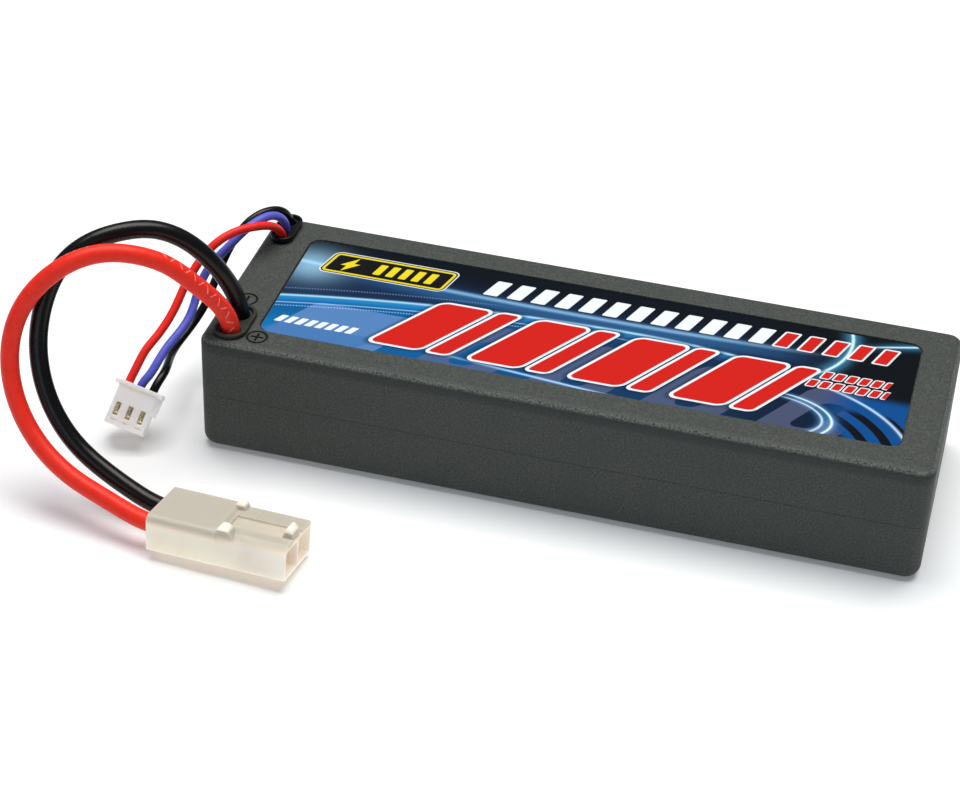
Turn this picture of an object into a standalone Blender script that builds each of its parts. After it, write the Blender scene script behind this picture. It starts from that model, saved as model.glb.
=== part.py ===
"""Hard-case two-cell battery pack with a main lead and a balance lead.

Frame: the origin is the centre of the case's base, +X runs along the case away from its leads,
-Y is the front side and +Z is up. Lengths are metres; MM turns a size in millimetres into one.
"""

import math

import bmesh
import bpy
import numpy as np
from mathutils import Matrix, Vector

MM = 0.001
GAP = 0.3 * MM  # clearance kept between neighbouring pieces

# Case
CASE_LENGTH = 139.0 * MM
CASE_WIDTH = 47.0 * MM
CASE_HEIGHT = 25.0 * MM
WALL = 2.0 * MM
CORNER_RADIUS = 3.0 * MM
TOP_EDGE_RADIUS = 1.6 * MM
BOTTOM_EDGE_RADIUS = 2.5 * MM
INNER_EDGE_RADIUS = 1.0 * MM
SMALLEST_RADIUS = 0.4 * MM
CORNER_SEGMENTS = 6
EDGE_SEGMENTS = 4

# Lap joint between the shells: an outer lip on the upper one over a tongue on the lower one
SEAM_HEIGHT = CASE_HEIGHT / 2
LIP_THICKNESS = 0.85 * MM
TONGUE_HEIGHT = 1.5 * MM

# Label and its recess in the top
LABEL_CENTRE_X = 1.3 * MM
LABEL_LENGTH = 122.4 * MM
LABEL_WIDTH = 34.2 * MM
LABEL_RADIUS = 2.6 * MM
LABEL_THICKNESS = 0.2 * MM
RECESS_DEPTH = 0.7 * MM

# Sunk polarity marks: a ring round a bar or a cross
MARK_RADIUS = 2.1 * MM
MARK_STROKE = 0.45 * MM
MARK_BAR_LENGTH = 2.5 * MM
MARK_DEPTH = 0.35 * MM
MINUS_CENTRE = (-64.9 * MM, -7.8 * MM)
PLUS_CENTRE = (-58.9 * MM, -19.4 * MM)

# Lead outlets in the top, each an obround slot along Y with a rubber grommet
MAIN_LEAD_DIAMETER = 3.5 * MM
MAIN_OUTLET_X = -64.3 * MM
MAIN_HOLES_Y = (-18.95 * MM, -13.65 * MM)
BALANCE_LEAD_DIAMETER = 1.7 * MM
BALANCE_OUTLET_X = -65.6 * MM
BALANCE_HOLES_Y = (15.0 * MM, 17.6 * MM, 20.2 * MM)
GROMMET_NECK_WALL = 0.7 * MM
MAIN_COLLAR_RADIUS = 3.25 * MM
MAIN_COLLAR_TOP = CASE_HEIGHT + 1.0 * MM
BALANCE_COLLAR_RADIUS = 2.4 * MM
BALANCE_COLLAR_TOP = CASE_HEIGHT + 1.4 * MM
GROMMET_BOTTOM = CASE_HEIGHT - 2.7 * MM
COLLAR_RIM = 0.75 * MM
COLLAR_BEVEL = 0.25 * MM
COLLAR_RECESS = 0.4 * MM
SLOT_SEGMENTS = 8
LEAD_START_HEIGHT = CASE_HEIGHT - 1.2 * MM
MAIN_RELEASE_HEIGHT = CASE_HEIGHT + 1.0 * MM
BALANCE_RELEASE_HEIGHT = CASE_HEIGHT + 0.2 * MM

# Main plug: local +X points from its wire end to its mating end
MAIN_PLUG_PLACE = (-52.85 * MM, -53.7 * MM, 1.35 * MM)  # the middle of its underside
MAIN_PLUG_TURN = (math.radians(-4.4), math.radians(-1.5), math.radians(-9.0))  # turned and tilted
MAIN_PLUG_LENGTH = 27.4 * MM
MAIN_PLUG_REAR = (12.4 * MM, 7.2 * MM, 1.2 * MM)  # wire half: width, height, front top edge's radius
MAIN_PLUG_FRONT = (12.1 * MM, 6.8 * MM, 2.2 * MM)  # mating half: the same three sizes
MAIN_PLUG_STEP_X = -0.3 * MM
MAIN_PLUG_STEP_LENGTH = 0.7 * MM
MAIN_PLUG_EDGE = 0.5 * MM
MAIN_PLUG_WALL = 0.6 * MM
MAIN_PLUG_PITCH = 6.1 * MM
MAIN_PLUG_AXIS_Z = 4.0 * MM
MAIN_CAVITY_START_X = 4.6 * MM
MAIN_WIRE_DEPTH = 3.2 * MM

# Raised stops on the main plug's front half, in millimetres: a side view of (x, z) points each
LATCH_POST = [(-0.8, 5.8), (1.8, 5.8), (1.7, 6.9), (1.2, 7.8), (0.8, 8.1), (0.1, 8.1), (-0.3, 7.8)]
LATCH_HUMP = [(-0.4, 4.8), (3.8, 4.8), (3.4, 6.2), (2.6, 7.3), (1.6, 8.0), (0.6, 8.0), (0.0, 7.2)]
LATCH_CATCH = [(10.9, 5.8), (13.5, 5.8), (13.4, 7.0), (12.9, 8.0), (12.4, 8.5), (11.9, 8.3)]
LATCH_STOPS = [(LATCH_POST, 3.9, 5.85), (LATCH_HUMP, -5.85, -3.3), (LATCH_CATCH, -1.6, 1.2)]
LATCH_CHANNEL_START_X = 0.9 * MM
LATCH_CHANNEL_DEPTH = 0.5 * MM
LATCH_CHANNEL_Y = (-2.3 * MM, 2.0 * MM)

# Balance plug: local X is its width, +Y points from its mating end to its wire end, and its
# windows are in its +Z face
BALANCE_PLUG_TIP = (-84.4 * MM, -25.0 * MM, 1.4 * MM)
BALANCE_PLUG_TURN = (math.radians(-15.0), math.radians(46.0), math.radians(25.0))
BALANCE_PLUG_WIDTH = 7.9 * MM
BALANCE_PLUG_LENGTH = 8.8 * MM
BALANCE_PLUG_THICKNESS = 5.75 * MM
BALANCE_PITCH = 2.5 * MM
BALANCE_AXIS_Z = 2.9 * MM
BALANCE_WIRE_DEPTH = 2.2 * MM
BALANCE_FLANGE_LOW = (-4.9 * MM, 7.9 * MM, 0.4 * MM)
BALANCE_FLANGE_HIGH = (4.9 * MM, BALANCE_PLUG_LENGTH, 5.95 * MM)
BALANCE_RIB_LOW = (3.5 * MM, 4.1 * MM, 3.0 * MM)
BALANCE_RIB_HIGH = (4.9 * MM, 8.4 * MM, 5.3 * MM)

# Openings at each balance contact, in millimetres: half width, then the low and high Y and Z
BALANCE_OPENINGS = {
    "cavity": (0.9, 1.2, 6.2, 1.3, 4.9),
    "window": (0.5, 1.9, 4.5, 4.6, 6.8),
    "slit": (0.45, 0.85, 1.1, 5.25, 6.8),
    "pin_hole": (0.5, -1.0, 1.5, 2.4, 3.4),
}
BALANCE_WIRE_HOLE_START = 6.0 * MM

# Leads: the hand-laid points, in millimetres, between the grommet and the plug
MAIN_ROUTES = {
    "red": [
        (-66.1, -20.0, 31.2), (-69.6, -22.2, 36.2), (-74.0, -24.3, 40.8), (-79.2, -27.0, 43.8),
        (-85.1, -30.1, 44.8), (-90.5, -33.4, 43.2), (-94.9, -36.2, 39.5), (-98.0, -38.7, 34.3),
        (-99.1, -41.0, 28.5), (-98.0, -43.7, 21.7), (-94.5, -46.5, 15.8), (-89.3, -49.0, 11.3),
        (-82.9, -51.1, 8.4), (-77.4, -52.5, 7.0), (-72.8, -53.8, 6.1),
    ],
    "black": [
        (-65.8, -14.1, 31.5), (-69.0, -15.3, 37.2), (-73.2, -16.8, 41.8), (-78.8, -19.4, 44.9),
        (-84.3, -23.0, 45.3), (-89.3, -26.6, 43.8), (-93.1, -30.5, 40.2), (-94.8, -34.0, 35.2),
        (-95.0, -37.6, 28.8), (-93.4, -40.6, 22.4), (-90.0, -43.1, 16.4), (-84.9, -45.0, 11.3),
        (-78.8, -46.4, 7.8), (-73.4, -47.6, 5.7),
    ],
}
BALANCE_ROUTES = {
    "red": [
        (-66.0, 13.4, 28.1), (-67.0, 10.6, 30.3), (-69.1, 7.5, 31.4), (-71.6, 4.8, 31.5),
        (-74.1, 2.1, 30.5), (-76.1, -0.2, 28.6), (-77.6, -2.6, 26.2), (-78.8, -5.1, 23.5),
        (-79.5, -7.5, 21.0), (-80.5, -10.4, 18.4), (-81.7, -13.2, 16.4), (-83.1, -16.3, 14.5),
        (-83.9, -19.1, 12.3),
    ],
    "blue": [
        (-66.1, 16.4, 28.6), (-67.5, 14.0, 30.5), (-69.5, 10.8, 30.6), (-71.5, 7.7, 29.4),
        (-73.5, 4.8, 27.4), (-75.5, 2.1, 25.3), (-76.7, -0.5, 23.0), (-77.1, -3.5, 20.4),
        (-77.3, -6.6, 18.0), (-78.1, -9.9, 16.3), (-79.4, -13.4, 14.7), (-80.3, -16.7, 13.0),
        (-81.3, -19.5, 11.1),
    ],
    "black": [
        (-66.6, 19.0, 28.6), (-69.0, 16.0, 30.1), (-71.4, 13.0, 29.4), (-73.3, 10.6, 27.2),
        (-74.9, 8.8, 24.0), (-76.0, 7.4, 20.9), (-77.0, 5.9, 17.6), (-77.9, 4.1, 14.5),
        (-79.0, 1.6, 12.0), (-80.1, -1.6, 10.3), (-80.8, -5.9, 9.5), (-80.4, -10.3, 9.7),
        (-79.5, -14.2, 10.4), (-79.1, -17.4, 10.6),
    ],
}
ROUTE_POINTS_PER_SPAN = 2

# Cells, stacked on their flat sides, and what packs them in
CELL_LENGTH = 92.0 * MM
CELL_WIDTH = 34.0 * MM
CELL_THICKNESS = 7.0 * MM
CELL_EDGE = 1.2 * MM
CELL_FLOOR = 5.1 * MM
TAPE_THICKNESS = 0.6 * MM
TERRACE_LENGTH = 4.0 * MM
TERRACE_WIDTH = 26.0 * MM
TERRACE_THICKNESS = 0.5 * MM
TAB_WIDTH = 8.0 * MM
TAB_THICKNESS = 0.3 * MM
TAB_OFFSET = 8.0 * MM
SIDE_FOAM_THICKNESS = 3.6 * MM

# Solder board under the outlets
BOARD_LOW = (-67.0 * MM, -20.6 * MM, 9.0 * MM)
BOARD_HIGH = (-54.0 * MM, 21.2 * MM, 10.2 * MM)
POST_SIZE = 2.4 * MM

# Stop ribs that stand beside the terraces, at the cells' lead end
RIB_THICKNESS = 1.6 * MM
RIB_TOP = 13.0 * MM
RIB_CLEARANCE = 1.5 * MM


# ---------------------------------------------------------------- materials


def make_material(name, colour, roughness, metallic=0.0):
    """A Principled material of one colour."""
    material = bpy.data.materials.new(name)
    material.use_nodes = True
    shader = material.node_tree.nodes["Principled BSDF"]
    shader.inputs["Base Color"].default_value = (*colour, 1.0)
    shader.inputs["Roughness"].default_value = roughness
    shader.inputs["Metallic"].default_value = metallic
    return material


def make_materials():
    """Every material of the pack, by name."""
    return {
        "case": make_material("case_plastic", (0.055, 0.06, 0.055), 0.55),
        "label": make_material("label_film", (0.05, 0.16, 0.42), 0.3),
        "rubber": make_material("grommet_rubber", (0.02, 0.021, 0.02), 0.6),
        "red": make_material("red_insulation", (0.75, 0.03, 0.015), 0.35),
        "black": make_material("black_insulation", (0.012, 0.012, 0.013), 0.35),
        "blue": make_material("blue_insulation", (0.1, 0.11, 0.5), 0.35),
        "nylon": make_material("ivory_nylon", (0.78, 0.74, 0.64), 0.4),
        "white": make_material("white_nylon", (0.82, 0.83, 0.8), 0.4),
        "brass": make_material("contact_brass", (0.72, 0.56, 0.3), 0.3, 1.0),
        "pouch": make_material("pouch_foil", (0.6, 0.61, 0.62), 0.35, 1.0),
        "tab": make_material("nickel_tab", (0.55, 0.54, 0.5), 0.35, 1.0),
        "board": make_material("board_laminate", (0.03, 0.17, 0.07), 0.5),
        "foam": make_material("packing_foam", (0.05, 0.05, 0.055), 0.95),
        "paper": make_material("insulating_paper", (0.45, 0.42, 0.33), 0.8),
    }


# ---------------------------------------------------------------- shapes


def add_mesh(name, bm, material, parent=None):
    """Turns a bmesh into an object of the scene."""
    bmesh.ops.recalc_face_normals(bm, faces=bm.faces)
    mesh = bpy.data.meshes.new(name)
    bm.to_mesh(mesh)
    bm.free()
    mesh.materials.append(material)
    mesh.shade_smooth()
    mesh.set_sharp_from_angle(angle=math.radians(35.0))
    item = bpy.data.objects.new(name, mesh)
    item.parent = parent
    bpy.context.scene.collection.objects.link(item)
    return item


def loft(rings):
    """A closed solid through rings of equally many points, capped at both ends."""
    bm = bmesh.new()
    loops = [[bm.verts.new(point) for point in ring] for ring in rings]
    for near, far in zip(loops, loops[1:]):
        for index in range(len(near)):
            following = (index + 1) % len(near)
            bm.faces.new((near[index], near[following], far[following], far[index]))
    bm.faces.new(loops[0])
    bm.faces.new(loops[-1])
    return bm


def rounded_rectangle(length, width, radius, segments=CORNER_SEGMENTS):
    """Outline points of a rectangle with round corners, centred on the origin."""
    points = []
    for quarter, (side_x, side_y) in enumerate(((1, 1), (-1, 1), (-1, -1), (1, -1))):
        for step in range(segments + 1):
            angle = math.radians(90.0 * (quarter + step / segments))
            x = side_x * (length / 2 - radius) + radius * math.cos(angle)
            y = side_y * (width / 2 - radius) + radius * math.sin(angle)
            points.append((x, y))
    return points


def obround(centres_y, radius, x):
    """Outline points of a slot along Y that runs round the first and the last centre."""
    points = []
    for half, centre_y in ((0, centres_y[-1]), (1, centres_y[0])):
        for step in range(SLOT_SEGMENTS + 1):
            angle = math.pi * (half + step / SLOT_SEGMENTS)
            points.append((x + radius * math.cos(angle), centre_y + radius * math.sin(angle)))
    return points


def circle(radius, centre, segments=16):
    """Outline points of a circle."""
    angles = [2 * math.pi * step / segments for step in range(segments)]
    return [(centre[0] + radius * math.cos(a), centre[1] + radius * math.sin(a)) for a in angles]


def at_height(outline, z):
    """A ring of the outline's points at one height."""
    return [(x, y, z) for x, y in outline]


def prism(outline, low_z, high_z):
    """The outline extruded from one height to another."""
    return loft([at_height(outline, low_z), at_height(outline, high_z)])


def turned_along_x(profile, y, z, segments=16):
    """A round piece along X through (x, radius) pairs, centred on the line at y and z."""
    rings = []
    for x, radius in profile:
        rings.append([(x, py, pz) for py, pz in circle(radius, (y, z), segments)])
    return loft(rings)


def turned_along_y(profile, x, z, segments=12):
    """A round piece along Y through (y, radius) pairs, centred on the line at x and z."""
    rings = []
    for y, radius in profile:
        rings.append([(px, y, pz) for px, pz in circle(radius, (x, z), segments)])
    return loft(rings)


def block(low, high):
    """A plain box between two corners."""
    bm = bmesh.new()
    bmesh.ops.create_cube(bm, size=1.0)
    size = Vector(high) - Vector(low)
    middle = (Vector(high) + Vector(low)) / 2
    bmesh.ops.scale(bm, vec=size, verts=bm.verts)
    bmesh.ops.translate(bm, vec=middle, verts=bm.verts)
    return bm


def merged(shapes):
    """One bmesh that holds several separate shapes."""
    whole = bmesh.new()
    for shape in shapes:
        mesh = bpy.data.meshes.new("shape")
        shape.to_mesh(mesh)
        shape.free()
        whole.from_mesh(mesh)
        bpy.data.meshes.remove(mesh)
    return whole


def bevelled(item, width, segments=1):
    """Adds a bevel to an object's edges."""
    bevel = item.modifiers.new("edges", "BEVEL")
    bevel.width = width
    bevel.segments = segments
    bevel.limit_method = "ANGLE"
    return item


def combine(item, operation, bm):
    """Cuts a shape out of an object, or adds it, with an exact Boolean."""
    name = f"{item.name}_{operation.lower()}_{len(item.modifiers)}"
    tool = add_mesh(name, bm, item.data.materials[0], item.parent)
    tool.hide_render = True
    tool.display_type = "WIRE"
    modifier = item.modifiers.new(operation.lower(), "BOOLEAN")
    modifier.operation = operation
    modifier.solver = "EXACT"
    modifier.object = tool
    return item


# ---------------------------------------------------------------- case


def case_ring(inset, z):
    """The case's plan outline, drawn in by inset, at a height."""
    length = CASE_LENGTH - 2 * inset
    width = CASE_WIDTH - 2 * inset
    radius = max(CORNER_RADIUS - inset, SMALLEST_RADIUS)
    return at_height(rounded_rectangle(length, width, radius), z)


def rounded_edge(radius, inset, edge_z, direction, segments=EDGE_SEGMENTS):
    """Rings over a rounded edge, from the flat face at edge_z down or up to the wall."""
    rings = []
    for step in range(segments + 1):
        angle = math.radians(90.0 * step / segments)
        drawn_in = inset + radius * (1 - math.sin(angle))
        z = edge_z + direction * radius * (1 - math.cos(angle))
        rings.append(case_ring(drawn_in, z))
    return rings


def make_lower_shell(materials):
    """The tray that holds the cells, with its tongue, stop ribs and board posts."""
    tongue_top = SEAM_HEIGHT + TONGUE_HEIGHT
    tongue_inset = LIP_THICKNESS + GAP
    seam = SEAM_HEIGHT - GAP / 2
    rings = rounded_edge(BOTTOM_EDGE_RADIUS, 0.0, 0.0, 1)
    rings += [case_ring(0.0, seam), case_ring(tongue_inset, seam)]
    rings += [case_ring(tongue_inset, tongue_top), case_ring(WALL, tongue_top)]
    rings += reversed(rounded_edge(INNER_EDGE_RADIUS, WALL, WALL, 1))
    shell = add_mesh("lower_shell", loft(rings), materials["case"])

    side = CASE_WIDTH / 2 - WALL / 2
    rib_high_x = -CELL_LENGTH / 2 - GAP
    rib_low_x = rib_high_x - RIB_THICKNESS
    rib_reach = TERRACE_WIDTH / 2 + RIB_CLEARANCE
    supports = []
    for direction in (-1, 1):
        low_y, high_y = sorted((direction * rib_reach, direction * side))
        supports.append(block((rib_low_x, low_y, WALL / 2), (rib_high_x, high_y, RIB_TOP)))
    post_top = BOARD_LOW[2] - GAP
    for x in (BOARD_LOW[0] + POST_SIZE, BOARD_HIGH[0] - POST_SIZE):
        for y in (BOARD_LOW[1], BOARD_HIGH[1] - POST_SIZE):
            supports.append(block((x, y, WALL / 2), (x + POST_SIZE, y + POST_SIZE, post_top)))
    return combine(shell, "UNION", merged(supports))


def make_mark(centre, with_cross):
    """The cutter of one polarity mark: a ring, and inside it a bar or a cross."""
    bottom = CASE_HEIGHT - MARK_DEPTH
    top = CASE_HEIGHT + MARK_DEPTH
    outer = circle(MARK_RADIUS, centre, 28)
    inner = circle(MARK_RADIUS - MARK_STROKE, centre, 28)
    ring = bmesh.new()
    loops = [[ring.verts.new((x, y, z)) for x, y in outline]
             for outline, z in ((outer, bottom), (outer, top), (inner, top), (inner, bottom))]
    for near, far in zip(loops, loops[1:] + loops[:1]):
        for index in range(len(near)):
            following = (index + 1) % len(near)
            ring.faces.new((near[index], near[following], far[following], far[index]))
    arm = MARK_BAR_LENGTH / 2
    half = MARK_STROKE / 2
    if with_cross:
        figure = [(half, half), (half, arm), (-half, arm), (-half, half), (-arm, half), (-arm, -half),
                  (-half, -half), (-half, -arm), (half, -arm), (half, -half), (arm, -half), (arm, half)]
    else:
        figure = [(half, -arm), (half, arm), (-half, arm), (-half, -arm)]
    outline = [(centre[0] + x, centre[1] + y) for x, y in figure]
    return [ring, prism(outline, bottom, top)]


def make_upper_shell(materials):
    """The lid, with the label's recess, the two lead slots and the polarity marks."""
    rebate_top = SEAM_HEIGHT + TONGUE_HEIGHT + GAP
    seam = SEAM_HEIGHT + GAP / 2
    rings = rounded_edge(INNER_EDGE_RADIUS, WALL, CASE_HEIGHT - WALL, -1)
    rings += [case_ring(WALL, rebate_top), case_ring(LIP_THICKNESS, rebate_top)]
    rings += [case_ring(LIP_THICKNESS, seam), case_ring(0.0, seam)]
    rings += reversed(rounded_edge(TOP_EDGE_RADIUS, 0.0, CASE_HEIGHT, -1))
    shell = add_mesh("upper_shell", loft(rings), materials["case"])

    recess = rounded_rectangle(LABEL_LENGTH, LABEL_WIDTH, LABEL_RADIUS)
    recess = [(x + LABEL_CENTRE_X, y) for x, y in recess]
    combine(shell, "DIFFERENCE", prism(recess, CASE_HEIGHT - RECESS_DEPTH, CASE_HEIGHT + 1.0 * MM))
    slots = []
    for x, holes_y, diameter in (
        (MAIN_OUTLET_X, MAIN_HOLES_Y, MAIN_LEAD_DIAMETER),
        (BALANCE_OUTLET_X, BALANCE_HOLES_Y, BALANCE_LEAD_DIAMETER),
    ):
        outline = obround(holes_y, neck_radius(diameter) + GAP, x)
        slots.append(prism(outline, GROMMET_BOTTOM - GAP, CASE_HEIGHT + 1.0 * MM))
    combine(shell, "DIFFERENCE", merged(slots))
    marks = make_mark(MINUS_CENTRE, False) + make_mark(PLUS_CENTRE, True)
    return combine(shell, "DIFFERENCE", merged(marks))


def make_label(materials):
    """The printed film that lies in the recess."""
    outline = rounded_rectangle(LABEL_LENGTH - 2 * GAP, LABEL_WIDTH - 2 * GAP, LABEL_RADIUS - GAP)
    outline = [(x + LABEL_CENTRE_X, y) for x, y in outline]
    bottom = CASE_HEIGHT - RECESS_DEPTH + GAP
    return add_mesh("label", prism(outline, bottom, bottom + LABEL_THICKNESS), materials["label"])


# ---------------------------------------------------------------- grommets


def neck_radius(diameter):
    """Radius of a grommet's neck round a lead of this diameter."""
    return diameter / 2 + GAP + GROMMET_NECK_WALL


def make_grommet(name, x, holes_y, diameter, collar_radius, collar_top, materials):
    """A rubber grommet: neck, collar with a raised rim, and one hole for each lead."""
    neck = neck_radius(diameter)
    inner = collar_radius - COLLAR_RIM
    levels = [
        (neck, GROMMET_BOTTOM),
        (neck, CASE_HEIGHT + GAP),
        (collar_radius, CASE_HEIGHT + GAP),
        (collar_radius, collar_top - COLLAR_BEVEL),
        (collar_radius - COLLAR_BEVEL, collar_top),
        (inner + COLLAR_BEVEL / 2, collar_top),
        (inner, collar_top - COLLAR_RECESS),
    ]
    rings = [at_height(obround(holes_y, radius, x), z) for radius, z in levels]
    grommet = add_mesh(name, loft(rings), materials["rubber"])
    hole_radius = diameter / 2 + GAP
    holes = []
    for y in holes_y:
        holes.append(prism(circle(hole_radius, (x, y)), GROMMET_BOTTOM - 1.0 * MM, collar_top))
    return combine(grommet, "DIFFERENCE", merged(holes))


# ---------------------------------------------------------------- main plug


def plug_section(x, width, height, shoulder, inset=0.0):
    """The main plug's cross-section at x; its front top edge has a radius of its own."""
    half = width / 2 - inset
    low = inset
    high = height - inset
    corners = [
        (half, high, MAIN_PLUG_EDGE, 0.0),
        (-half, high, shoulder, 90.0),
        (-half, low, MAIN_PLUG_EDGE, 180.0),
        (half, low, MAIN_PLUG_EDGE, 270.0),
    ]
    points = []
    for y, z, radius, start in corners:
        centre_y = y - math.copysign(radius, y)
        centre_z = z - radius if z == high else z + radius
        for step in range(5):
            angle = math.radians(start + 90.0 * step / 4)
            points.append((x, centre_y + radius * math.cos(angle), centre_z + radius * math.sin(angle)))
    return points


def plug_frame(name, matrix):
    """An empty that carries a plug and the pieces inside it."""
    frame = bpy.data.objects.new(name, None)
    frame.matrix_world = matrix
    bpy.context.scene.collection.objects.link(frame)
    return frame


def make_main_plug(frame, materials):
    """The nylon housing: wire holes behind, two mating cavities in front, a latch on top."""
    half = MAIN_PLUG_LENGTH / 2
    step_end = MAIN_PLUG_STEP_X + MAIN_PLUG_STEP_LENGTH
    end_bevel = 0.25 * MM
    rings = [
        plug_section(-half, *MAIN_PLUG_REAR, end_bevel),
        plug_section(-half + end_bevel, *MAIN_PLUG_REAR),
        plug_section(MAIN_PLUG_STEP_X, *MAIN_PLUG_REAR),
        plug_section(step_end, *MAIN_PLUG_FRONT),
        plug_section(half - end_bevel, *MAIN_PLUG_FRONT),
        plug_section(half, *MAIN_PLUG_FRONT, end_bevel),
    ]
    housing = add_mesh("main_plug_housing", loft(rings), materials["nylon"], frame)

    top = MAIN_PLUG_FRONT[1]
    channel_low = (LATCH_CHANNEL_START_X, LATCH_CHANNEL_Y[0], top - LATCH_CHANNEL_DEPTH)
    channel_high = (half + 1.0 * MM, LATCH_CHANNEL_Y[1], top + 1.0 * MM)
    combine(housing, "DIFFERENCE", block(channel_low, channel_high))
    for side_view, low_y, high_y in LATCH_STOPS:
        rings = [[(x * MM, y * MM, z * MM) for x, z in side_view] for y in (low_y, high_y)]
        combine(housing, "UNION", loft(rings))

    cavity_width = (MAIN_PLUG_FRONT[0] - 3 * MAIN_PLUG_WALL) / 2
    cavity_height = top - LATCH_CHANNEL_DEPTH - 2 * MAIN_PLUG_WALL
    cavity_y = (MAIN_PLUG_WALL + cavity_width) / 2
    cavity_z = MAIN_PLUG_WALL + cavity_height / 2
    for side in (-1, 1):
        outline = rounded_rectangle(cavity_width, cavity_height, 0.5 * MM, 3)
        rings = []
        for x in (MAIN_CAVITY_START_X, half + 1.0 * MM):
            rings.append([(x, side * cavity_y + py, cavity_z + pz) for py, pz in outline])
        combine(housing, "DIFFERENCE", loft(rings))
        hole_radius = MAIN_LEAD_DIAMETER / 2 + GAP
        hole = [(-half - 1.0 * MM, hole_radius), (MAIN_CAVITY_START_X + 0.3 * MM, hole_radius)]
        combine(housing, "DIFFERENCE",
                turned_along_x(hole, side * MAIN_PLUG_PITCH / 2, MAIN_PLUG_AXIS_Z, 20))
    return housing


def make_main_contact(name, side, frame, materials):
    """A turned crimp contact: barrel over the wire's end, neck, and a socket with a bore."""
    barrel_start = -MAIN_PLUG_LENGTH / 2 + MAIN_WIRE_DEPTH + GAP
    profile = [
        (barrel_start, 1.55 * MM),
        (-3.4 * MM, 1.55 * MM),
        (-3.0 * MM, 1.0 * MM),
        (-0.6 * MM, 1.0 * MM),
        (-0.2 * MM, 1.4 * MM),
        (7.2 * MM, 1.4 * MM),
        (7.4 * MM, 1.2 * MM),
        (7.4 * MM, 0.95 * MM),
        (1.6 * MM, 0.95 * MM),
    ]
    contact = turned_along_x(profile, side * MAIN_PLUG_PITCH / 2, MAIN_PLUG_AXIS_Z)
    return add_mesh(name, contact, materials["brass"], frame)


# ---------------------------------------------------------------- balance plug


def make_balance_plug(frame, materials):
    """The small white housing, with a flange, one guide rib, windows and pin holes."""
    half = BALANCE_PLUG_WIDTH / 2
    length = BALANCE_PLUG_LENGTH
    depth = BALANCE_PLUG_THICKNESS
    housing = add_mesh("balance_plug_housing", block((-half, 0.0, 0.0), (half, length, depth)),
                       materials["white"], frame)
    bevelled(housing, 0.25 * MM)
    combine(housing, "UNION", block(BALANCE_FLANGE_LOW, BALANCE_FLANGE_HIGH))
    combine(housing, "UNION", block(BALANCE_RIB_LOW, BALANCE_RIB_HIGH))

    centres = [place * BALANCE_PITCH for place in (-1, 0, 1)]
    for half_width, low_y, high_y, low_z, high_z in BALANCE_OPENINGS.values():
        cutters = []
        for x in centres:
            low = (x - half_width * MM, low_y * MM, low_z * MM)
            high = (x + half_width * MM, high_y * MM, high_z * MM)
            cutters.append(block(low, high))
        combine(housing, "DIFFERENCE", merged(cutters))
    radius = BALANCE_LEAD_DIAMETER / 2 + GAP
    wire_hole = [(BALANCE_WIRE_HOLE_START, radius), (length + 1.0 * MM, radius)]
    wire_holes = [turned_along_y(wire_hole, x, BALANCE_AXIS_Z) for x in centres]
    return combine(housing, "DIFFERENCE", merged(wire_holes))


def make_balance_contact(name, place, frame, materials):
    """A folded sheet contact: a box that shows in the window, narrowing to its crimp."""
    x = place * BALANCE_PITCH
    end_y = BALANCE_PLUG_LENGTH - BALANCE_WIRE_DEPTH - GAP
    stations = [(1.6, 0.5, 2.2, 4.3), (1.9, 0.6, 1.9, 4.6), (4.6, 0.6, 1.9, 4.6), (5.0, 0.45, 2.3, 3.5)]
    stations.append((end_y / MM, 0.55, 2.3, 3.5))
    rings = []
    for y, half, low, high in stations:
        corners = ((-half, low), (half, low), (half, high), (-half, high))
        rings.append([(x + px * MM, y * MM, pz * MM) for px, pz in corners])
    return add_mesh(name, loft(rings), materials["brass"], frame)


# ---------------------------------------------------------------- leads


def smooth_route(route, per_span):
    """Points on the natural cubic curve through the route's points."""
    knots = np.array(route)
    spans = np.linalg.norm(np.diff(knots, axis=0), axis=1)[:, None]
    slopes = np.diff(knots, axis=0) / spans
    system = np.eye(len(knots))
    target = np.zeros_like(knots)
    for index in range(1, len(knots) - 1):
        before = spans[index - 1, 0]
        after = spans[index, 0]
        system[index, index - 1:index + 2] = (before, 2 * (before + after), after)
        target[index] = 6 * (slopes[index] - slopes[index - 1])
    bends = np.linalg.solve(system, target)
    points = []
    for index, span in enumerate(spans[:, 0]):
        for part in range(per_span):
            after = part / per_span
            before = 1 - after
            straight = before * knots[index] + after * knots[index + 1]
            curve = (before**3 - before) * bends[index] + (after**3 - after) * bends[index + 1]
            points.append(straight + curve * span**2 / 6)
    points.append(knots[-1])
    return points


def make_tube(name, points, diameter, material):
    """A round lead along the points, closed at both ends."""
    curve = bpy.data.curves.new(name, "CURVE")
    curve.dimensions = "3D"
    curve.bevel_depth = diameter / 2
    curve.bevel_resolution = 2
    curve.use_fill_caps = True
    spline = curve.splines.new("POLY")
    spline.points.add(len(points) - 1)
    for target, point in zip(spline.points, points):
        target.co = (*point, 1.0)
    curve.materials.append(material)
    item = bpy.data.objects.new(name, curve)
    bpy.context.scene.collection.objects.link(item)
    return item


def make_lead(kind, colour, hole, middle, plug_points, diameter, materials):
    """One outer lead from its grommet hole into its plug, and its tail down to the board."""
    x, y, release_height = hole
    start = [(x, y, LEAD_START_HEIGHT), (x, y, release_height)]
    middle = [tuple(value * MM for value in point) for point in middle]
    route = start + middle + [tuple(point) for point in plug_points]
    points = smooth_route(route, ROUTE_POINTS_PER_SPAN)
    make_tube(f"{kind}_lead_{colour}", points, diameter, materials[colour])
    tail = [(x, y, LEAD_START_HEIGHT - GAP), (x, y, BOARD_HIGH[2] + GAP)]
    make_tube(f"{kind}_tail_{colour}", tail, diameter, materials[colour])


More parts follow.
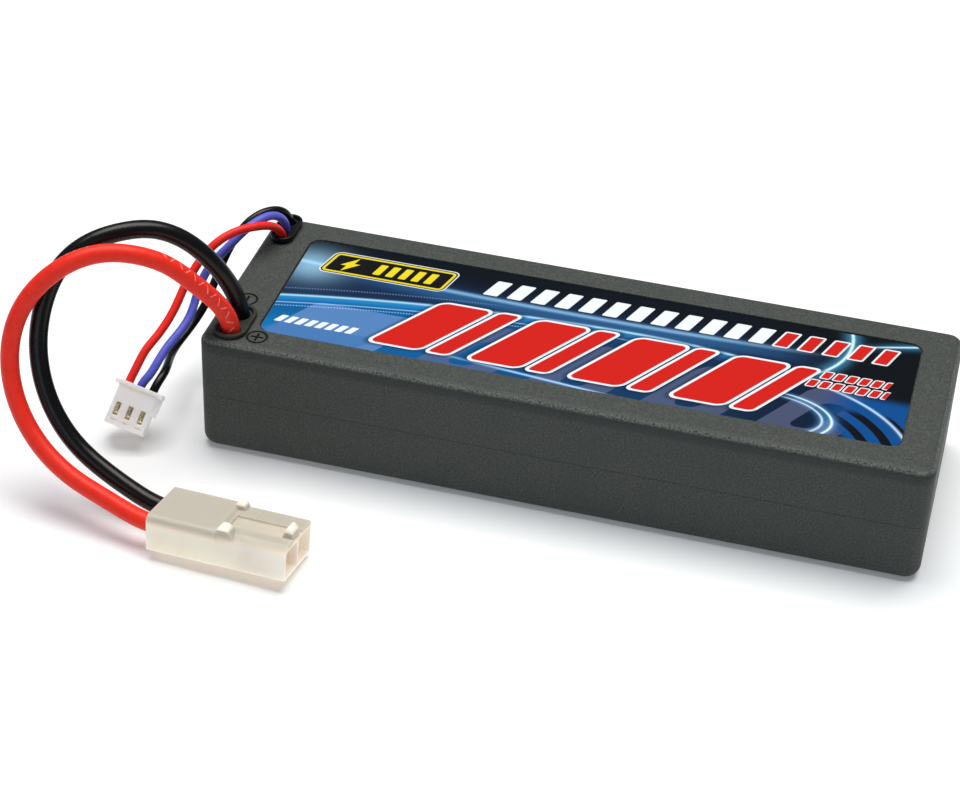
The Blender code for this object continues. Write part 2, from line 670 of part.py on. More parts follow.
def make_main_leads(matrix, materials):
    """The red and the black main lead."""
    rear = -MAIN_PLUG_LENGTH / 2
    for colour, hole_y, side in (("red", MAIN_HOLES_Y[0], -1), ("black", MAIN_HOLES_Y[1], 1)):
        local_y = side * MAIN_PLUG_PITCH / 2
        local_x = (rear - 0.5 * MM, rear + MAIN_WIRE_DEPTH)
        plug_points = [matrix @ Vector((value, local_y, MAIN_PLUG_AXIS_Z)) for value in local_x]
        hole = (MAIN_OUTLET_X, hole_y, MAIN_RELEASE_HEIGHT)
        make_lead("main", colour, hole, MAIN_ROUTES[colour], plug_points, MAIN_LEAD_DIAMETER, materials)


def make_balance_leads(matrix, materials):
    """The three thin balance leads."""
    end = BALANCE_PLUG_LENGTH
    for colour, hole_y, place in zip(("red", "blue", "black"), BALANCE_HOLES_Y, (-1, 0, 1)):
        local_x = place * BALANCE_PITCH
        local_y = (end + 1.0 * MM, end - BALANCE_WIRE_DEPTH)
        plug_points = [matrix @ Vector((local_x, value, BALANCE_AXIS_Z)) for value in local_y]
        hole = (BALANCE_OUTLET_X, hole_y, BALANCE_RELEASE_HEIGHT)
        make_lead("balance", colour, hole, BALANCE_ROUTES[colour], plug_points, BALANCE_LEAD_DIAMETER,
                  materials)


# ---------------------------------------------------------------- inside the case


def make_cell(name, floor, materials):
    """A pouch cell with the sealed terrace that its tabs leave from."""
    half_length = CELL_LENGTH / 2
    half_width = CELL_WIDTH / 2
    body = block((-half_length, -half_width, floor), (half_length, half_width, floor + CELL_THICKNESS))
    cell = bevelled(add_mesh(name, body, materials["pouch"]), CELL_EDGE, 3)
    middle = floor + CELL_THICKNESS / 2
    low = (-half_length - TERRACE_LENGTH, -TERRACE_WIDTH / 2, middle - TERRACE_THICKNESS / 2)
    high = (-half_length + 1.0 * MM, TERRACE_WIDTH / 2, middle + TERRACE_THICKNESS / 2)
    return combine(cell, "UNION", block(low, high))


def make_tab(name, centre_line, y, materials):
    """A flat tab of constant thickness along a line of (x, z) points."""
    line = [Vector(point) for point in centre_line]
    above = []
    below = []
    for index, point in enumerate(line):
        ahead = line[min(index + 1, len(line) - 1)]
        behind = line[max(index - 1, 0)]
        along = (ahead - behind).normalized()
        across = Vector((-along.y, along.x)) * TAB_THICKNESS / 2
        above.append(point + across)
        below.append(point - across)
    outline = above + below[::-1]
    rings = []
    for edge_y in (y - TAB_WIDTH / 2, y + TAB_WIDTH / 2):
        rings.append([(point.x, edge_y, point.y) for point in outline])
    return add_mesh(name, loft(rings), materials["tab"])


def make_tabs(lower_middle, upper_middle, materials):
    """The four tabs, bent down onto the board; the middle pair lies one over the other."""
    start = -CELL_LENGTH / 2 - TERRACE_LENGTH - GAP
    foot = BOARD_HIGH[2] + GAP + TAB_THICKNESS / 2
    second_foot = foot + TAB_THICKNESS + GAP
    edge = BOARD_HIGH[0]
    rise = [(start, lower_middle), (start - 1.2 * MM, lower_middle + 0.1 * MM)]
    rise += [(edge + 0.9 * MM, foot - 0.3 * MM), (edge - 0.4 * MM, foot)]
    for name, y, reach in (("minus", -TAB_OFFSET, 4.0 * MM), ("plus", TAB_OFFSET, 5.5 * MM)):
        make_tab(f"lower_cell_{name}_tab", rise + [(edge - reach, foot)], y, materials)
    for name, y, reach, foot_z in (("plus", -TAB_OFFSET, 5.6 * MM, foot),
                                   ("minus", TAB_OFFSET, 1.6 * MM, second_foot)):
        fall = [(start, upper_middle), (start - 1.6 * MM, upper_middle - 0.2 * MM)]
        fall += [(edge - reach + 0.8 * MM, foot_z + 1.0 * MM), (edge - reach, foot_z)]
        make_tab(f"upper_cell_{name}_tab", fall + [(edge - reach - 3.4 * MM, foot_z)], y, materials)


def make_filling(materials):
    """The cells, tape, foam, insulator and solder board that fill the case."""
    upper_floor = CELL_FLOOR + CELL_THICKNESS + 2 * GAP + TAPE_THICKNESS
    stack_top = upper_floor + CELL_THICKNESS
    make_cell("lower_cell", CELL_FLOOR, materials)
    make_cell("upper_cell", upper_floor, materials)
    make_tabs(CELL_FLOOR + CELL_THICKNESS / 2, upper_floor + CELL_THICKNESS / 2, materials)

    half_length = CELL_LENGTH / 2
    half_width = CELL_WIDTH / 2
    ceiling = CASE_HEIGHT - WALL - GAP
    floor = WALL + GAP
    inner_end = CASE_LENGTH / 2 - WALL - GAP
    tape_z = CELL_FLOOR + CELL_THICKNESS + GAP
    foam_y = half_width + GAP
    tape_inset = 3.0 * MM
    end_margin = 1.0 * MM
    side_low = (-half_length, foam_y, CELL_FLOOR)
    side_high = (half_length, foam_y + SIDE_FOAM_THICKNESS, stack_top)
    blocks = {
        "cell_tape": ("paper", (-half_length + tape_inset, -half_width + tape_inset, tape_z),
                      (half_length - tape_inset, half_width - tape_inset, tape_z + TAPE_THICKNESS)),
        "terrace_insulator": ("paper", (-half_length - 5.5 * MM, -TERRACE_WIDTH / 2, tape_z + 0.1 * MM),
                              (-half_length - 0.5 * MM, TERRACE_WIDTH / 2, tape_z + 0.5 * MM)),
        "floor_foam": ("foam", (-half_length, -half_width, floor),
                       (half_length, half_width, CELL_FLOOR - GAP)),
        "ceiling_foam": ("foam", (-half_length, -half_width, stack_top + GAP),
                         (half_length, half_width, ceiling)),
        "end_foam": ("foam", (half_length + GAP, -half_width, floor + end_margin),
                     (inner_end, half_width, ceiling - end_margin)),
        "front_foam": ("foam", (side_low[0], -side_high[1], side_low[2]),
                       (side_high[0], -side_low[1], side_high[2])),
        "back_foam": ("foam", side_low, side_high),
        "solder_board": ("board", BOARD_LOW, BOARD_HIGH),
    }
    for name, (material, low, high) in blocks.items():
        bevelled(add_mesh(name, block(low, high), materials[material]), 0.15 * MM)


# ---------------------------------------------------------------- the whole pack


def main():
    """Builds every piece."""
    for item in list(bpy.data.objects):
        bpy.data.objects.remove(item, do_unlink=True)
    materials = make_materials()

    make_lower_shell(materials)
    make_upper_shell(materials)
    make_label(materials)
    make_grommet("main_lead_grommet", MAIN_OUTLET_X, MAIN_HOLES_Y, MAIN_LEAD_DIAMETER,
                 MAIN_COLLAR_RADIUS, MAIN_COLLAR_TOP, materials)
    make_grommet("balance_lead_grommet", BALANCE_OUTLET_X, BALANCE_HOLES_Y, BALANCE_LEAD_DIAMETER,
                 BALANCE_COLLAR_RADIUS, BALANCE_COLLAR_TOP, materials)
    make_filling(materials)

    yaw, pitch, roll = MAIN_PLUG_TURN
    turn = Matrix.Rotation(yaw, 4, "Z") @ Matrix.Rotation(pitch, 4, "Y") @ Matrix.Rotation(roll, 4, "X")
    main_matrix = Matrix.Translation(MAIN_PLUG_PLACE) @ turn
    main_frame = plug_frame("main_plug_frame", main_matrix)
    make_main_plug(main_frame, materials)
    make_main_contact("main_contact_red", -1, main_frame, materials)
    make_main_contact("main_contact_black", 1, main_frame, materials)
    make_main_leads(main_matrix, materials)

    yaw, tilt, roll = BALANCE_PLUG_TURN
    turn = Matrix.Rotation(yaw, 4, "Z") @ Matrix.Rotation(tilt, 4, "X") @ Matrix.Rotation(roll, 4, "Y")
    balance_matrix = Matrix.Translation(BALANCE_PLUG_TIP) @ turn
    balance_frame = plug_frame("balance_plug_frame", balance_matrix)
    make_balance_plug(balance_frame, materials)
    for colour, place in (("red", -1), ("blue", 0), ("black", 1)):
        make_balance_contact(f"balance_contact_{colour}", place, balance_frame, materials)
    make_balance_leads(balance_matrix, materials)


main()
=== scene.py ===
"""Looks of a hard-case battery pack: case, printed label, grommets, leads and plugs.

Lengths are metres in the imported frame, where +X runs along the case away from its leads, -Y is the
front side and +Z is up. MM and mm() turn millimetres into metres. The patterns in the materials are
worked out in millimetres, and colours are given as screen values from 0 to 255.
"""

import math

import bmesh
import bpy
import numpy as np
from mathutils import Matrix, Vector


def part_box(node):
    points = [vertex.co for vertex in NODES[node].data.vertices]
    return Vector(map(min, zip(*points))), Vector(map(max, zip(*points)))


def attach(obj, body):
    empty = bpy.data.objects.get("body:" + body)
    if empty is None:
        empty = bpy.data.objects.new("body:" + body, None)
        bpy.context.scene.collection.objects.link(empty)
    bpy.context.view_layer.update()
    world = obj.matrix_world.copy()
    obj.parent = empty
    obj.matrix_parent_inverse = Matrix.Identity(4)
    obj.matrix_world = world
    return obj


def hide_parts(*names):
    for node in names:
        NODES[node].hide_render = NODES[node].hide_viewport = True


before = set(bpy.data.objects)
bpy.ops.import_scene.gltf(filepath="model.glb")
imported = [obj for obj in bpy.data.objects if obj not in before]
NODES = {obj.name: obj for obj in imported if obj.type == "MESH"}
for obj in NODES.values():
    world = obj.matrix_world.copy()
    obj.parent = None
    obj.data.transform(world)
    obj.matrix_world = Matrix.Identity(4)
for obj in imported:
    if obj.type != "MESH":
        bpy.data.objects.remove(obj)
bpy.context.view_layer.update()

MM = 0.001
BODY = "root"


def mm(*values):
    """Millimetres as metres."""
    return tuple(value * MM for value in values)


def placed(position, turns):
    """A plug's place: its position in millimetres, and its turns in degrees as (angle, axis) pairs."""
    place = Matrix.Translation(mm(*position))
    for angle, axis in turns:
        place = place @ Matrix.Rotation(math.radians(angle), 4, axis)
    return place


# ---------------- sizes

CASE_LOW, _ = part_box("lower_shell")
_, CASE_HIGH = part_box("upper_shell")
CASE_LENGTH = CASE_HIGH[0] - CASE_LOW[0]
CASE_WIDTH = CASE_HIGH[1] - CASE_LOW[1]
CASE_HEIGHT = CASE_HIGH[2]
WALL = 2.0 * MM
CORNER_RADIUS = 3.0 * MM
TOP_EDGE_RADIUS = 1.6 * MM
BOTTOM_EDGE_RADIUS = 2.5 * MM
INNER_EDGE_RADIUS = 1.0 * MM
SMALLEST_RADIUS = 0.4 * MM
CORNER_SEGMENTS = 14
SLOT_SEGMENTS = 20
EDGE_SEGMENTS = 10
CUT_PAST = 1.0 * MM  # how far a cutter runs past the face that it cuts

SEAM_HEIGHT = CASE_HEIGHT / 2
SEAM_GAP = 0.05 * MM
LIP_THICKNESS = 0.85 * MM
LIP_GAP = 0.3 * MM
TONGUE_HEIGHT = 1.5 * MM

LABEL_LOW, LABEL_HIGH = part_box("label")
LABEL_CENTRE_X = (LABEL_LOW[0] + LABEL_HIGH[0]) / 2
LABEL_RADIUS = 2.3 * MM
RECESS_MARGIN = 0.3 * MM
RECESS_DEPTH = 0.7 * MM

MARK_RADIUS = 2.1 * MM
MARK_STROKE = 0.45 * MM
MARK_BAR_LENGTH = 2.5 * MM
MARK_DEPTH = 0.35 * MM
MARK_SEGMENTS = 56
MINUS_CENTRE = mm(-64.9, -7.8)
PLUS_CENTRE = mm(-58.9, -19.4)

# Outlets and leads: the colours and the holes come in the same order
MAIN_COLOURS = ("red", "black")
MAIN_LEAD_DIAMETER = 3.5 * MM
MAIN_LEAD_SIDES = 28
MAIN_OUTLET_X = -64.3 * MM
MAIN_HOLES_Y = mm(-18.95, -13.65)
MAIN_RELEASE_HEIGHT = CASE_HEIGHT + 1.0 * MM
BALANCE_COLOURS = ("red", "blue", "black")
BALANCE_LEAD_DIAMETER = 1.7 * MM
BALANCE_LEAD_SIDES = 20
BALANCE_OUTLET_X = -65.6 * MM
BALANCE_HOLES_Y = mm(15.0, 17.6, 20.2)
BALANCE_RELEASE_HEIGHT = CASE_HEIGHT + 0.2 * MM
LEAD_START_HEIGHT = CASE_HEIGHT - 1.2 * MM
ROUTE_POINTS_PER_SPAN = 6

# Grommets; a bead is its outer radius, its height over the case and its thickness
GROMMET_CLEARANCE = 0.3 * MM
GROMMET_NECK_WALL = 0.7 * MM
GROMMET_SEGMENTS = 28
GROMMET_HOLE_CLEARANCE = 0.18 * MM
GROMMET_HOLE_SEGMENTS = 36
GROMMET_BOTTOM = CASE_HEIGHT - 2.7 * MM
MAIN_BEAD = mm(3.25, 1.0, 0.8)
BALANCE_BEAD = mm(2.4, 1.4, 0.7)
BEAD_SEGMENTS = 8
COLLAR_GAP = 0.05 * MM
COLLAR_UNDERCUT = 0.15 * MM
DISH_STEP = 0.05 * MM
DISH_DEPTH = 0.35 * MM

# Main plug: local +X points from its wire end to its mating end, and X is 0 at its middle.
# A section is its width, its height and the radius of its front top edge. A box to cut is two
# corners, and a latch stop is its two sides and its side view, all in millimetres.
MAIN_PLUG_PLACE = placed((-52.85, -53.7, 1.35), ((-4.4, "Z"), (-1.5, "Y"), (-9.0, "X")))
MAIN_PLUG_LENGTH = 27.4 * MM
MAIN_PLUG_PITCH = 6.1 * MM
MAIN_PLUG_AXIS_Z = 4.0 * MM
MAIN_PLUG_REAR = mm(12.4, 7.2, 1.2)
MAIN_PLUG_FRONT = mm(12.1, 6.8, 2.2)
MAIN_PLUG_WALL = 0.6 * MM
MAIN_CAVITY_START = 4.6 * MM
MAIN_CAVITY_RADIUS = 0.5 * MM
MAIN_WIRE_DEPTH = 3.2 * MM
MAIN_WIRE_CLEARANCE = 0.2 * MM
MAIN_WIRE_HOLE_END = MAIN_CAVITY_START + 0.3 * MM
LATCH_CHANNEL = ((0.9, -2.3, 6.3), (14.7, 2.0, 7.8))
LATCH_FLOOR_DEPTH = 0.5 * MM
LATCH_STOPS = (
    ((3.9, 5.85), ((-0.8, 5.6), (1.8, 5.6), (1.7, 6.9), (1.45, 7.4), (1.15, 7.85), (0.8, 8.1),
                   (0.1, 8.1), (-0.2, 7.9), (-0.5, 7.3))),
    ((-5.85, -3.3), ((-0.4, 4.6), (3.8, 4.6), (3.4, 6.2), (2.95, 6.95), (2.4, 7.55), (1.7, 8.0),
                     (0.7, 8.0), (0.2, 7.6), (-0.1, 6.9))),
    ((-1.6, 1.2), ((10.9, 5.6), (13.5, 5.6), (13.4, 7.0), (13.15, 7.7), (12.8, 8.2), (12.4, 8.5),
                   (12.0, 8.4), (11.5, 7.5))),
)

# Balance plug: local +Y points from its mating end to its wire end, its windows face +Z.
# Boxes are two corners in millimetres; those at a wire have the wire's X as their own.
BALANCE_PLUG_PLACE = placed((-84.4, -25.0, 1.4), ((-15.0, "Z"), (46.0, "X"), (25.0, "Y")))
BALANCE_PLUG_WIDTH = 7.9 * MM
BALANCE_PLUG_LENGTH = 8.8 * MM
BALANCE_PLUG_THICKNESS = 5.75 * MM
BALANCE_FLANGE = ((-4.9, 7.9, 0.4), (4.9, 8.8, 5.95))
BALANCE_RIB = ((3.55, 4.1, 3.0), (4.9, 8.4, 5.3))
BALANCE_PITCH = 2.5 * MM
BALANCE_AXIS_Z = 2.9 * MM
BALANCE_WIRE_DEPTH = 2.2 * MM
BALANCE_WIRE_CLEARANCE = 0.15 * MM
BALANCE_WIRE_HOLE_START = 6.0 * MM
BALANCE_CAVITY = ((-0.9, 1.2, 1.3), (0.9, 6.2, 4.9))
BALANCE_WINDOW = ((-0.5, 1.9, 4.6), (0.5, 4.5, 6.75))
BALANCE_SLIT = ((-0.45, 0.85, 4.95), (0.45, 1.1, 6.75))
BALANCE_MOUTH = ((-0.5, -1.0, 2.4), (0.5, 1.5, 3.4))
BALANCE_CONTACT = ((-0.62, 1.5, 1.8), (0.62, 4.6, 4.3))
BALANCE_CONTACT_NECK = ((-0.4, 4.4, 2.2), (0.4, 5.4, 3.3))
BALANCE_CONTACT_SLIT = ((0.16, 2.6, 4.7), (0.28, 4.1, 5.6))
BALANCE_CRIMP_RADIUS = 0.62 * MM
BALANCE_CRIMP_START = 5.2 * MM
BALANCE_TONGUE_HALF = 0.42 * MM
BALANCE_TONGUE = ((1.95, 4.2), (4.42, 4.2), (4.42, 4.9), (4.0, 5.2), (3.3, 5.3), (2.7, 5.05),
                  (2.3, 5.2), (2.0, 4.9))
CONTACT_GAP = 0.3 * MM  # between a wire's end and its contact

# The leads' points, in millimetres, the same ones as in the CAD
MAIN_ROUTES = {
    "red": [
        (-66.1, -20.0, 31.2), (-69.6, -22.2, 36.2), (-74.0, -24.3, 40.8), (-79.2, -27.0, 43.8),
        (-85.1, -30.1, 44.8), (-90.5, -33.4, 43.2), (-94.9, -36.2, 39.5), (-98.0, -38.7, 34.3),
        (-99.1, -41.0, 28.5), (-98.0, -43.7, 21.7), (-94.5, -46.5, 15.8), (-89.3, -49.0, 11.3),
        (-82.9, -51.1, 8.4), (-77.4, -52.5, 7.0), (-72.8, -53.8, 6.1),
    ],
    "black": [
        (-65.8, -14.1, 31.5), (-69.0, -15.3, 37.2), (-73.2, -16.8, 41.8), (-78.8, -19.4, 44.9),
        (-84.3, -23.0, 45.3), (-89.3, -26.6, 43.8), (-93.1, -30.5, 40.2), (-94.8, -34.0, 35.2),
        (-95.0, -37.6, 28.8), (-93.4, -40.6, 22.4), (-90.0, -43.1, 16.4), (-84.9, -45.0, 11.3),
        (-78.8, -46.4, 7.8), (-73.4, -47.6, 5.7),
    ],
}
BALANCE_ROUTES = {
    "red": [
        (-66.0, 13.4, 28.1), (-67.0, 10.6, 30.3), (-69.1, 7.5, 31.4), (-71.6, 4.8, 31.5),
        (-74.1, 2.1, 30.5), (-76.1, -0.2, 28.6), (-77.6, -2.6, 26.2), (-78.8, -5.1, 23.5),
        (-79.5, -7.5, 21.0), (-80.5, -10.4, 18.4), (-81.7, -13.2, 16.4), (-83.1, -16.3, 14.5),
        (-83.9, -19.1, 12.3),
    ],
    "blue": [
        (-66.1, 16.4, 28.6), (-67.5, 14.0, 30.5), (-69.5, 10.8, 30.6), (-71.5, 7.7, 29.4),
        (-73.5, 4.8, 27.4), (-75.5, 2.1, 25.3), (-76.7, -0.5, 23.0), (-77.1, -3.5, 20.4),
        (-77.3, -6.6, 18.0), (-78.1, -9.9, 16.3), (-79.4, -13.4, 14.7), (-80.3, -16.7, 13.0),
        (-81.3, -19.5, 11.1),
    ],
    "black": [
        (-66.6, 19.0, 28.6), (-69.0, 16.0, 30.1), (-71.4, 13.0, 29.4), (-73.3, 10.6, 27.2),
        (-74.9, 8.8, 24.0), (-76.0, 7.4, 20.9), (-77.0, 5.9, 17.6), (-77.9, 4.1, 14.5),
        (-79.0, 1.6, 12.0), (-80.1, -1.6, 10.3), (-80.8, -5.9, 9.5), (-80.4, -10.3, 9.7),
        (-79.5, -14.2, 10.4), (-79.1, -17.4, 10.6),
    ],
}

# The filling's materials: their nodes, two colours, blotch size, roughness, bump depth and metallic value
FILLINGS = {
    "pouch_foil_look": (
        ("lower_cell", "upper_cell"), (176, 178, 180), (150, 152, 155), 2.4, 0.28, 0.08 * MM, 0.9),
    "foam_look": (
        ("floor_foam", "ceiling_foam", "end_foam", "front_foam", "back_foam"),
        (34, 34, 36), (62, 62, 66), 0.5, 0.75, 0.25 * MM, 0.0),
    "tape_look": (
        ("cell_tape", "terrace_insulator"), (198, 170, 98), (182, 150, 78), 3.0, 0.4, 0.03 * MM, 0.0),
}


# ---------------- shader arithmetic


def srgb(red, green, blue):
    """A linear colour from 0 to 255 screen values."""
    channels = []
    for value in (red / 255, green / 255, blue / 255):
        channels.append(value / 12.92 if value <= 0.04045 else ((value + 0.055) / 1.055) ** 2.4)
    return (*channels, 1.0)


class Field:
    """A number that varies over a surface, worked out by a material's Math nodes."""

    def __init__(self, tree, socket):
        self.tree = tree
        self.socket = socket

    def math(self, operation, *others):
        node = self.tree.nodes.new("ShaderNodeMath")
        node.operation = operation
        for target, value in zip(node.inputs, (self, *others)):
            connect(self.tree, value, target)
        return Field(self.tree, node.outputs[0])

    def __add__(self, other):
        return self.math("ADD", other)

    def __sub__(self, other):
        return self.math("SUBTRACT", other)

    def __rsub__(self, other):
        return (self * -1.0).math("ADD", other)

    def __mul__(self, other):
        return self.math("MULTIPLY", other)

    def __truediv__(self, other):
        return self.math("DIVIDE", other)

    def __abs__(self):
        return self.math("ABSOLUTE")

    def low(self, other):
        """The smaller of the two."""
        return self.math("MINIMUM", other)

    def high(self, other):
        """The larger of the two."""
        return self.math("MAXIMUM", other)

    def repeated(self, pitch):
        """Counts from minus to plus half a pitch, again and again, with 0 at each multiple of it."""
        return (self + pitch / 2).math("FLOORED_MODULO", pitch) - pitch / 2

    def ramp(self, start, end):
        """0 up to start, 1 from end on, and a smooth step between them."""
        node = self.tree.nodes.new("ShaderNodeMapRange")
        node.interpolation_type = "SMOOTHSTEP"
        connect(self.tree, self, node.inputs["Value"])
        node.inputs["From Min"].default_value = min(start, end)
        node.inputs["From Max"].default_value = max(start, end)
        node.inputs["To Min"].default_value = 0.0 if start < end else 1.0
        node.inputs["To Max"].default_value = 1.0 if start < end else 0.0
        return Field(self.tree, node.outputs["Result"])

    def inside(self, softness=0.05):
        """1 where a distance is negative, with a soft edge."""
        return self.ramp(softness, -softness)

    def between(self, start, end):
        """1 from start to end, with an edge a tenth wide at both."""
        return self.ramp(start, start + 0.1) * self.ramp(end, end - 0.1)

    def glow(self, width):
        """1 at a distance of 0, fading over the width."""
        scaled = self / width
        return (scaled * scaled * -1.0).math("EXPONENT")


def connect(tree, value, target):
    """Feeds a socket from a Field, another socket or a plain value."""
    if isinstance(value, Field):
        tree.links.new(value.socket, target)
    elif isinstance(value, bpy.types.NodeSocket):
        tree.links.new(value, target)
    else:
        target.default_value = value


def distance_to(x, y, centre):
    """Distance from a point."""
    across = x - centre[0]
    along = y - centre[1]
    return (across * across + along * along).math("SQRT")


def leaning(x, y, centre_y, slant):
    """x, measured along lines that lean over by slant."""
    return x - (y - centre_y) * slant


def rounded_box(across, up, half_size, radius, slant=0.0):
    """Signed distance from a round-cornered box about the origin; across may be a leaning x."""
    side = (abs(across) - half_size[0]) * math.cos(math.atan(slant)) + radius
    above = abs(up) - half_size[1] + radius
    outer_side = side.high(0.0)
    outer_above = above.high(0.0)
    corner = (outer_side * outer_side + outer_above * outer_above).math("SQRT")
    return corner + side.high(above).low(0.0) - radius


def slanted_box(x, y, centre, half_size, radius, slant, pitch=None):
    """Signed distance from a box that leans over by slant, or from a row of them at a pitch."""
    across = leaning(x, y, centre[1], slant) - centre[0]
    if pitch:
        across = across.repeated(pitch)
    return rounded_box(across, y - centre[1], half_size, radius, slant)


def convex_shape(x, y, points):
    """Signed distance from a convex polygon with its points in anticlockwise order."""
    distance = None
    for (x0, y0), (x1, y1) in zip(points, points[1:] + points[:1]):
        length = math.hypot(x1 - x0, y1 - y0)
        normal = ((y1 - y0) / length, (x0 - x1) / length)
        side = x * normal[0] + y * normal[1] - (x0 * normal[0] + y0 * normal[1])
        distance = side if distance is None else distance.high(side)
    return distance


# ---------------- materials


class Look:
    """A material in the making: a Principled shader, and a colour that layers are painted onto."""

    def __init__(self, name, colour=(0, 0, 0), **sockets):
        self.material = bpy.data.materials.new(name)
        self.material.use_nodes = True
        self.tree = self.material.node_tree
        self.shader = self.tree.nodes["Principled BSDF"]
        self.colour = srgb(*colour)
        for socket, value in sockets.items():
            self.shader.inputs[socket.replace("_", " ")].default_value = value

    def place(self, kind="Object"):
        """Where a shaded point is, in metres, or in the UV map's own units."""
        return self.tree.nodes.new("ShaderNodeTexCoord").outputs[kind]

    def coordinates(self, kind="Object"):
        """The three coordinates of a shaded point."""
        split = self.tree.nodes.new("ShaderNodeSeparateXYZ")
        self.tree.links.new(self.place(kind), split.inputs[0])
        return [Field(self.tree, output) for output in split.outputs]

    def noise(self, size, detail=2.0, roughness=0.5, place=None):
        """Noise whose blotches measure about size, in millimetres."""
        node = self.tree.nodes.new("ShaderNodeTexNoise")
        node.inputs["Scale"].default_value = 1.0 / (size * MM)
        node.inputs["Detail"].default_value = detail
        node.inputs["Roughness"].default_value = roughness
        self.tree.links.new(place or self.place(), node.inputs["Vector"])
        return Field(self.tree, node.outputs[0])

    def cover(self, mask, colour, blend="MIX"):
        """Paints a colour over the mask."""
        node = self.tree.nodes.new("ShaderNodeMix")
        node.data_type = "RGBA"
        node.blend_type = blend
        connect(self.tree, mask, node.inputs["Factor"])
        connect(self.tree, self.colour, node.inputs["A"])
        connect(self.tree, srgb(*colour), node.inputs["B"])
        self.colour = node.outputs["Result"]

    def light(self, mask, colour):
        """Adds light of a colour over the mask."""
        self.cover(mask, colour, "SCREEN")

    def finish(self, roughness, height, depth, strength):
        """Connects the colour, the roughness, and a bump that rises by depth where height is 1."""
        connect(self.tree, self.colour, self.shader.inputs["Base Color"])
        connect(self.tree, roughness, self.shader.inputs["Roughness"])
        node = self.tree.nodes.new("ShaderNodeBump")
        node.inputs["Distance"].default_value = depth
        node.inputs["Strength"].default_value = strength
        connect(self.tree, height, node.inputs["Height"])
        self.tree.links.new(node.outputs["Normal"], self.shader.inputs["Normal"])
        return self.material


def case_material():
    """Dark grey moulded plastic with an even spark-eroded grain, a painted highlight along the rounded top
    edges and a band of painted shade just under it.
    """
    look = Look("case_plastic_look", (67, 69, 65), Specular_IOR_Level=0.16)
    x, y, z = (axis / MM for axis in look.coordinates())
    over_top = z - CASE_HEIGHT / MM
    over_mark_floor = over_top + MARK_DEPTH / MM
    grain = look.noise(0.34, 2.0, 0.6)
    coarse = look.noise(9.0, 3.0)
    look.cover(grain.ramp(0.5, 0.66), (81, 84, 78))
    look.cover(grain.ramp(0.46, 0.34), (56, 59, 57))
    look.cover(coarse.ramp(0.45, 0.75) * 0.35, (62, 66, 65))
    # Painted shade: a darker band over the lower part of the rounded top edge and the top of the sides, below
    # the painted highlight.
    painted_shade_under_edge = over_top.ramp(-3.4, -2.0) * over_top.ramp(-0.75, -1.1)
    look.cover(painted_shade_under_edge * 0.5, (42, 44, 45))
    # Painted highlight: a lighter grainy line on the upper part of the rounded top edge, where the overhead
    # light is reflected.
    edge = over_top.ramp(-0.85, -0.6) * over_top.ramp(-0.12, -0.3)
    look.cover(edge * grain.ramp(0.38, 0.6) * 0.7, (112, 115, 107))
    marks = mark_field(x, y, MINUS_CENTRE, False).low(mark_field(x, y, PLUS_CENTRE, True))
    look.cover(marks.inside(0.06) * over_mark_floor.ramp(-0.3, -0.1), (12, 12, 12))
    return look.finish(grain * 0.2 + coarse * 0.08 + 0.38, grain, 0.035 * MM, 0.7)


def mark_field(x, y, centre, with_cross):
    """Signed distance from one polarity mark's strokes, all in millimetres."""
    across = x - centre[0] / MM
    up = y - centre[1] / MM
    half = MARK_STROKE / 2 / MM
    arm = MARK_BAR_LENGTH / 2 / MM
    ring = abs(distance_to(across, up, (0.0, 0.0)) - (MARK_RADIUS / MM - half)) - half
    mark = ring.low(rounded_box(across, up, (half, arm), 0.05))
    if with_cross:
        mark = mark.low(rounded_box(across, up, (arm, half), 0.05))
    return mark


def rubber_material(name, colour, dusty, roughness):
    """Moulded rubber, a little dusty in blotches."""
    look = Look(name, colour, Specular_IOR_Level=0.2)
    grain = look.noise(0.26, 4.0, 0.65)
    dust = look.noise(1.1, 3.0)
    look.cover(dust.ramp(0.45, 0.72) * 0.7, dusty)
    return look.finish(grain * 0.2 + roughness, grain, 0.07 * MM, 0.9)


def lead_material(name, colour, shade, roughness, ticks=None):
    """Soft glossy insulation; ticks is the colour of the row of printed strokes along it."""
    look = Look(name, colour, Specular_IOR_Level=0.28, Specular_Tint=(1.0, 0.92, 0.84, 1.0))
    ripple = look.noise(1.6, 2.0)
    film = look.noise(0.35, 3.0, 0.6)
    look.cover(ripple.ramp(0.4, 0.75) * 0.55, shade)
    if ticks:
        print_row(look, ticks, film)
    return look.finish(film * 0.18 + roughness, ripple + film * 0.25, 0.05 * MM, 0.5)


def print_row(look, colour, wear):
    """A worn row of short strokes, leaning in turn, that winds from a lead's front to its back.

    Places round the lead are parts of a turn, and the other sizes are millimetres along it."""
    along, around, _ = look.coordinates("UV")
    along = along / MM
    first_turn, last_turn, turn_each = 0.55, 0.92, 0.0115
    around = around - (along * turn_each + first_turn).low(last_turn)
    pitch, half_thickness, lean = 1.7, 0.13, 7.0
    leaning_way = (along.repeated(2 * pitch) / pitch).math("SIGN") * lean
    across = abs((along + pitch / 2).repeated(pitch) + around * leaning_way) - half_thickness
    half_height = 0.055
    strokes = across.inside(0.07) * (abs(around) - half_height).inside(0.012)
    group_centre, group_pitch, half_group = 13.0, 34.0, 11.0
    group = abs((along - group_centre).repeated(group_pitch)) - half_group
    look.cover(strokes * group.inside(0.1) * wear.ramp(0.3, 0.55) * 0.8, colour)


def own_coordinate(look, place, axis):
    """A placed piece's own coordinate along its X, Y or Z axis, in millimetres."""
    direction = place.to_3x3().col["XYZ".index(axis)]
    x, y, z = (field * part for field, part in zip(look.coordinates(), direction))
    return (x + y + z - place.translation.dot(direction)) / MM


